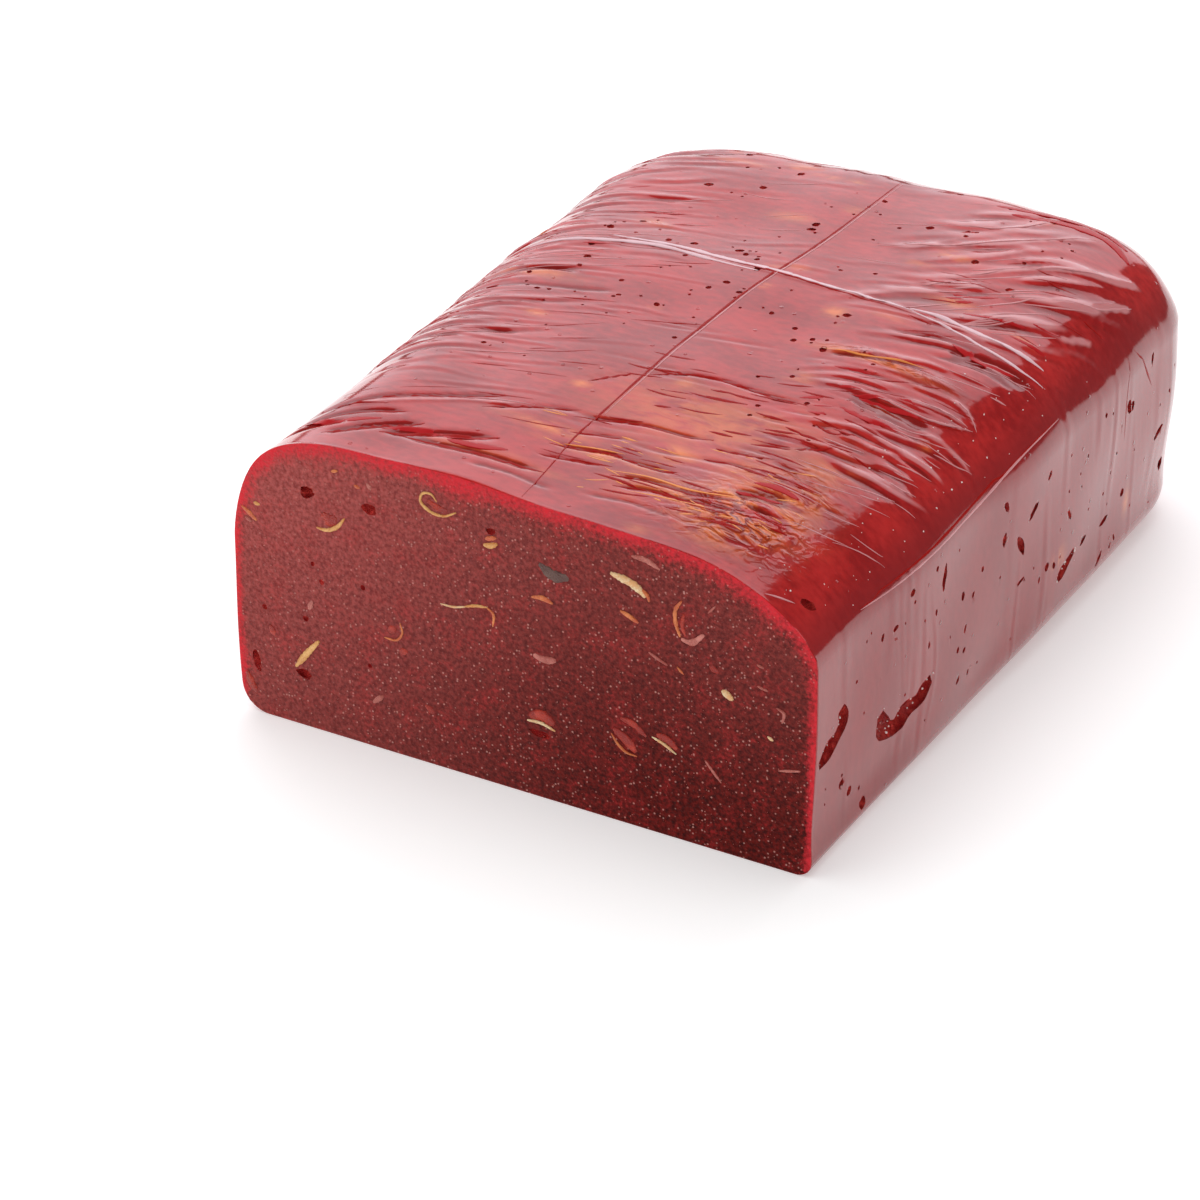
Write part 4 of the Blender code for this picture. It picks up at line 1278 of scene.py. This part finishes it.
class Skin:
    """Finds places on the block from places on the skin laid flat."""

    def __init__(self, block):
        self.tree = BVHTree.FromObject(block, bpy.context.evaluated_depsgraph_get())
        self.points = read_points(block.data)
        self.normals = read_normals(block.data)
        flat = np.stack(skin_place(self.points), 1)
        self.flat = flat
        self.nearest = KDTree(len(flat))
        for index, (u, v) in enumerate(flat):
            self.nearest.insert((u, v, 0.0), index)
        self.nearest.balance()

    def at(self, u, v):
        """The place on the block and its normal."""
        _, index, _ = self.nearest.find((u, v, 0.0))
        normal = Vector(self.normals[index])
        along = Vector((0.0, 1.0, 0.0))
        across = along.cross(normal)
        move = across * (u - self.flat[index, 0]) + along * (v - self.flat[index, 1])
        place, normal, _, _ = self.tree.find_nearest(Vector(self.points[index]) + move * MM)
        return place, normal


def add_strand(bm, skin, route, width, proud, random):
    """One thin strand on the skin."""
    found = [skin.at(u, v) for u, v in even_points(route, STRAND_STEP)]
    places, normals = (np.array(part) for part in zip(*found))
    for _ in range(EVENING):
        places[1:-1] = (places[:-2] + 2.0 * places[1:-1] + places[2:]) / 4.0
    for index, (place, normal) in enumerate(zip(places, normals)):
        surface, _, _, _ = skin.tree.find_nearest(Vector(place))
        sunk = max(0.0, np.dot(np.array(surface) - place, normal))
        places[index] = place + normal * sunk
    count = len(places)
    rough = random.uniform(0.5, 1.3, count + EVENING - 1)
    uneven = np.convolve(rough, np.ones(EVENING) / EVENING, "valid")
    widths = width * taper(count, *STRAND_TAPER) * uneven
    heights = widths * proud * random.uniform(0.8, 1.0, count) + STRAND_LEAST
    add_sweep(bm, places, normals, widths * MM, heights * MM)


def make_strands(skin):
    """The fold edges and cross band painted pale as highlights, dark lines painted as shade beside them
    and along grooves, and gold streaks of the skin, a piece for each tone.
    """
    pieces = []
    for tone, (colour, shine, proud) in STRAND_TONES.items():
        bm = bmesh.new()
        random = np.random.default_rng(STRAND_SEED)
        for route, width in STRANDS[tone]:
            add_strand(bm, skin, route, width, proud, random)
        for seed, count, us, vs, lengths, headings, thickness in SHORT_STRANDS.get(tone, ()):
            random = np.random.default_rng(seed)
            for _ in range(count):
                middle = np.array((random.uniform(*us), random.uniform(*vs)))
                heading = math.radians(random.uniform(*headings))
                ahead = np.array((math.cos(heading), math.sin(heading)))
                reach = random.uniform(*lengths) / 2.0 * ahead
                bow = random.uniform(*STRAND_BOW) * np.array((-reach[1], reach[0]))
                route = (middle - reach, middle + bow, middle + reach)
                add_strand(bm, skin, route, random.uniform(*thickness), proud, random)
        pieces.append(smooth_piece(f"skin_{tone}", bm, strand_material(tone, colour, shine)))
    return pieces


def add_speck(bm, place, scale, random):
    """One speck."""
    speck = bmesh.new()
    size = random.uniform(*SPECK_SIZE) * scale * MM
    bmesh.ops.create_icosphere(speck, subdivisions=1, radius=size)
    bmesh.ops.scale(speck, verts=speck.verts, vec=random.uniform(0.6, 1.5, 3))
    bmesh.ops.translate(speck, verts=speck.verts, vec=place)
    add_part(bm, speck)


def make_painted_glint_beads(skin, block):
    """Small raised beads on the right shoulder and in the long hollows, painted pale as glints."""
    bm = bmesh.new()
    random = np.random.default_rng(SPECK_SEED)
    for _ in range(SPECK_COUNT):
        place, _ = skin.at(random.uniform(*SPECKS_ACROSS), random.uniform(*SPECKS_ALONG))
        add_speck(bm, place, 1.0, random)
    tree = BVHTree.FromObject(block, bpy.context.evaluated_depsgraph_get())
    direction = Vector(LOOKS["right"][0])
    for route, width in BENT_HOLLOWS:
        middle = even_points(route, 0.3)
        for _ in range(SPECKS_IN_HOLLOW):
            start = middle[random.integers(len(middle))]
            along, up = start + random.uniform(*SPECKS_OFF_MIDDLE, 2) * width
            place, _, _, _ = tree.ray_cast(look_from("right", along, up), direction)
            add_speck(bm, place, LARGER_IN_HOLLOW, random)
    # The beads' pale colour is a painted highlight.
    return smooth_piece("skin_painted_glint_beads", bm, strand_material("painted_glint_beads", PAINTED_GLINT_COLOUR, 0.8))


def smooth_piece(name, bm, material):
    """A piece with smooth shading."""
    piece = new_piece(name, bm, material)
    piece.data.shade_smooth()
    return piece


def add_light(name, size, place, target, strength, colour=(1.0, 1.0, 1.0), seen_in_gloss=True):
    """A soft rectangular light, aimed at a point. Strength is its brightness, where 1 is white."""
    light = bpy.data.lights.new(name, "AREA")
    light.shape = "RECTANGLE"
    light.size, light.size_y = size
    light.color = colour
    light.energy = strength * math.pi * size[0] * size[1]
    lamp = bpy.data.objects.new(name, light)
    lamp.location = place
    lamp.rotation_euler = (Vector(target) - Vector(place)).to_track_quat("-Z", "Y").to_euler()
    lamp.visible_glossy = seen_in_gloss
    lamp.visible_camera = False
    bpy.context.scene.collection.objects.link(lamp)


def by_heading(heading, rise, distance):
    """A place that far from the block: heading in degrees left of +Y, rise above the floor."""
    turn = math.radians(heading)
    lift = math.radians(rise)
    level = math.cos(lift) * distance
    return (-math.sin(turn) * level, math.cos(turn) * level, math.sin(lift) * distance)


def make_stage():
    """Floor, lights and world."""
    bm = bmesh.new()
    bmesh.ops.create_grid(bm, x_segments=1, y_segments=1, size=4.0)
    constants = {
        "Base Color": (0.90, 0.90, 0.90), "Roughness": 0.9, "Emission Color": (1.0, 1.0, 1.0),
        "Emission Strength": 0.30}
    floor = new_piece("floor", bm, new_material("floor", constants)[0])
    middle = (0.0, 0.0, 0.03)
    add_light("softbox", (1.9, 1.5), by_heading(26.0, 32.0, 1.5), middle, 1.24, (1.0, 0.93, 1.0))
    add_light("overhead", (1.2, 1.2), by_heading(60.0, 75.0, 1.4), middle, 1.5, seen_in_gloss=False)
    left = (-0.05, -0.07, 0.04)
    add_light("left_fill", (0.4, 0.4), by_heading(140.0, 25.0, 0.7), left, 0.9, seen_in_gloss=False)
    world = bpy.data.worlds.new("studio")
    world.use_nodes = True
    bpy.context.scene.world = world
    nodes = Nodes(world.node_tree)
    back = world.node_tree.nodes["Background"]
    rays = nodes.add("ShaderNodeLightPath")
    seen = nodes.mix(rays.outputs["Is Glossy Ray"], (0.62, 0.62, 0.62), (0.12, 0.12, 0.12))
    nodes.feed(back.inputs["Color"], seen)


# The camera: focal length and picture width in pixels, sensor width in mm, how far it looks down
# and to the left in degrees, and its place from the foot of the cut face
CAMERA_FOCUS = 3600.0
IMAGE_WIDTH = 1200.0
SENSOR = 36.0
CAMERA_PITCH = 29.206
CAMERA_TURN = 29.448
CAMERA_FROM_CUT = (0.25144, -0.41815, 0.30742)


def make_camera():
    """The camera at the photograph's viewing angle, placed from the foot of the cut face."""
    camera = bpy.data.cameras.new("camera")
    camera.sensor_width = SENSOR
    camera.lens = SENSOR * CAMERA_FOCUS / IMAGE_WIDTH
    camera.clip_start = 0.01
    holder = bpy.data.objects.new("camera", camera)
    holder.location = Vector(CAMERA_FROM_CUT) + Vector((MIDDLE_X, CUT_Y, 0.0))
    holder.rotation_euler = (math.radians(90.0 - CAMERA_PITCH), 0.0, math.radians(CAMERA_TURN))
    bpy.context.scene.collection.objects.link(holder)
    bpy.context.scene.camera = holder


# Edges sharper than this stay sharp, in degrees
SHARP_FROM = 50.0

bpy.context.scene.view_settings.view_transform = "Standard"
make_camera()
make_stage()

mottle = paste_mottle()
skin = skin_material(mottle, fine_wrinkles())
block = make_block(skin, cut_material(mottle, paste_grain()), hollow_material(mottle))
finish_block(block)
skin_map = Skin(block)
strands = make_strands(skin_map)
cut_hollows(block)
painted_glint_beads = make_painted_glint_beads(skin_map, block)
add_masks(block.data)
block.data.shade_smooth()
block.data.set_sharp_from_angle(angle=math.radians(SHARP_FROM))
shreds = make_shreds(mottle)
grains = make_grains(mottle)
slots = {"paste_skin": (block, *strands, painted_glint_beads), "cut_paste": (grains,), "peel": shreds}
for slot, pieces in slots.items():
    for piece in pieces:
        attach(piece, "root")
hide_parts("loaf")
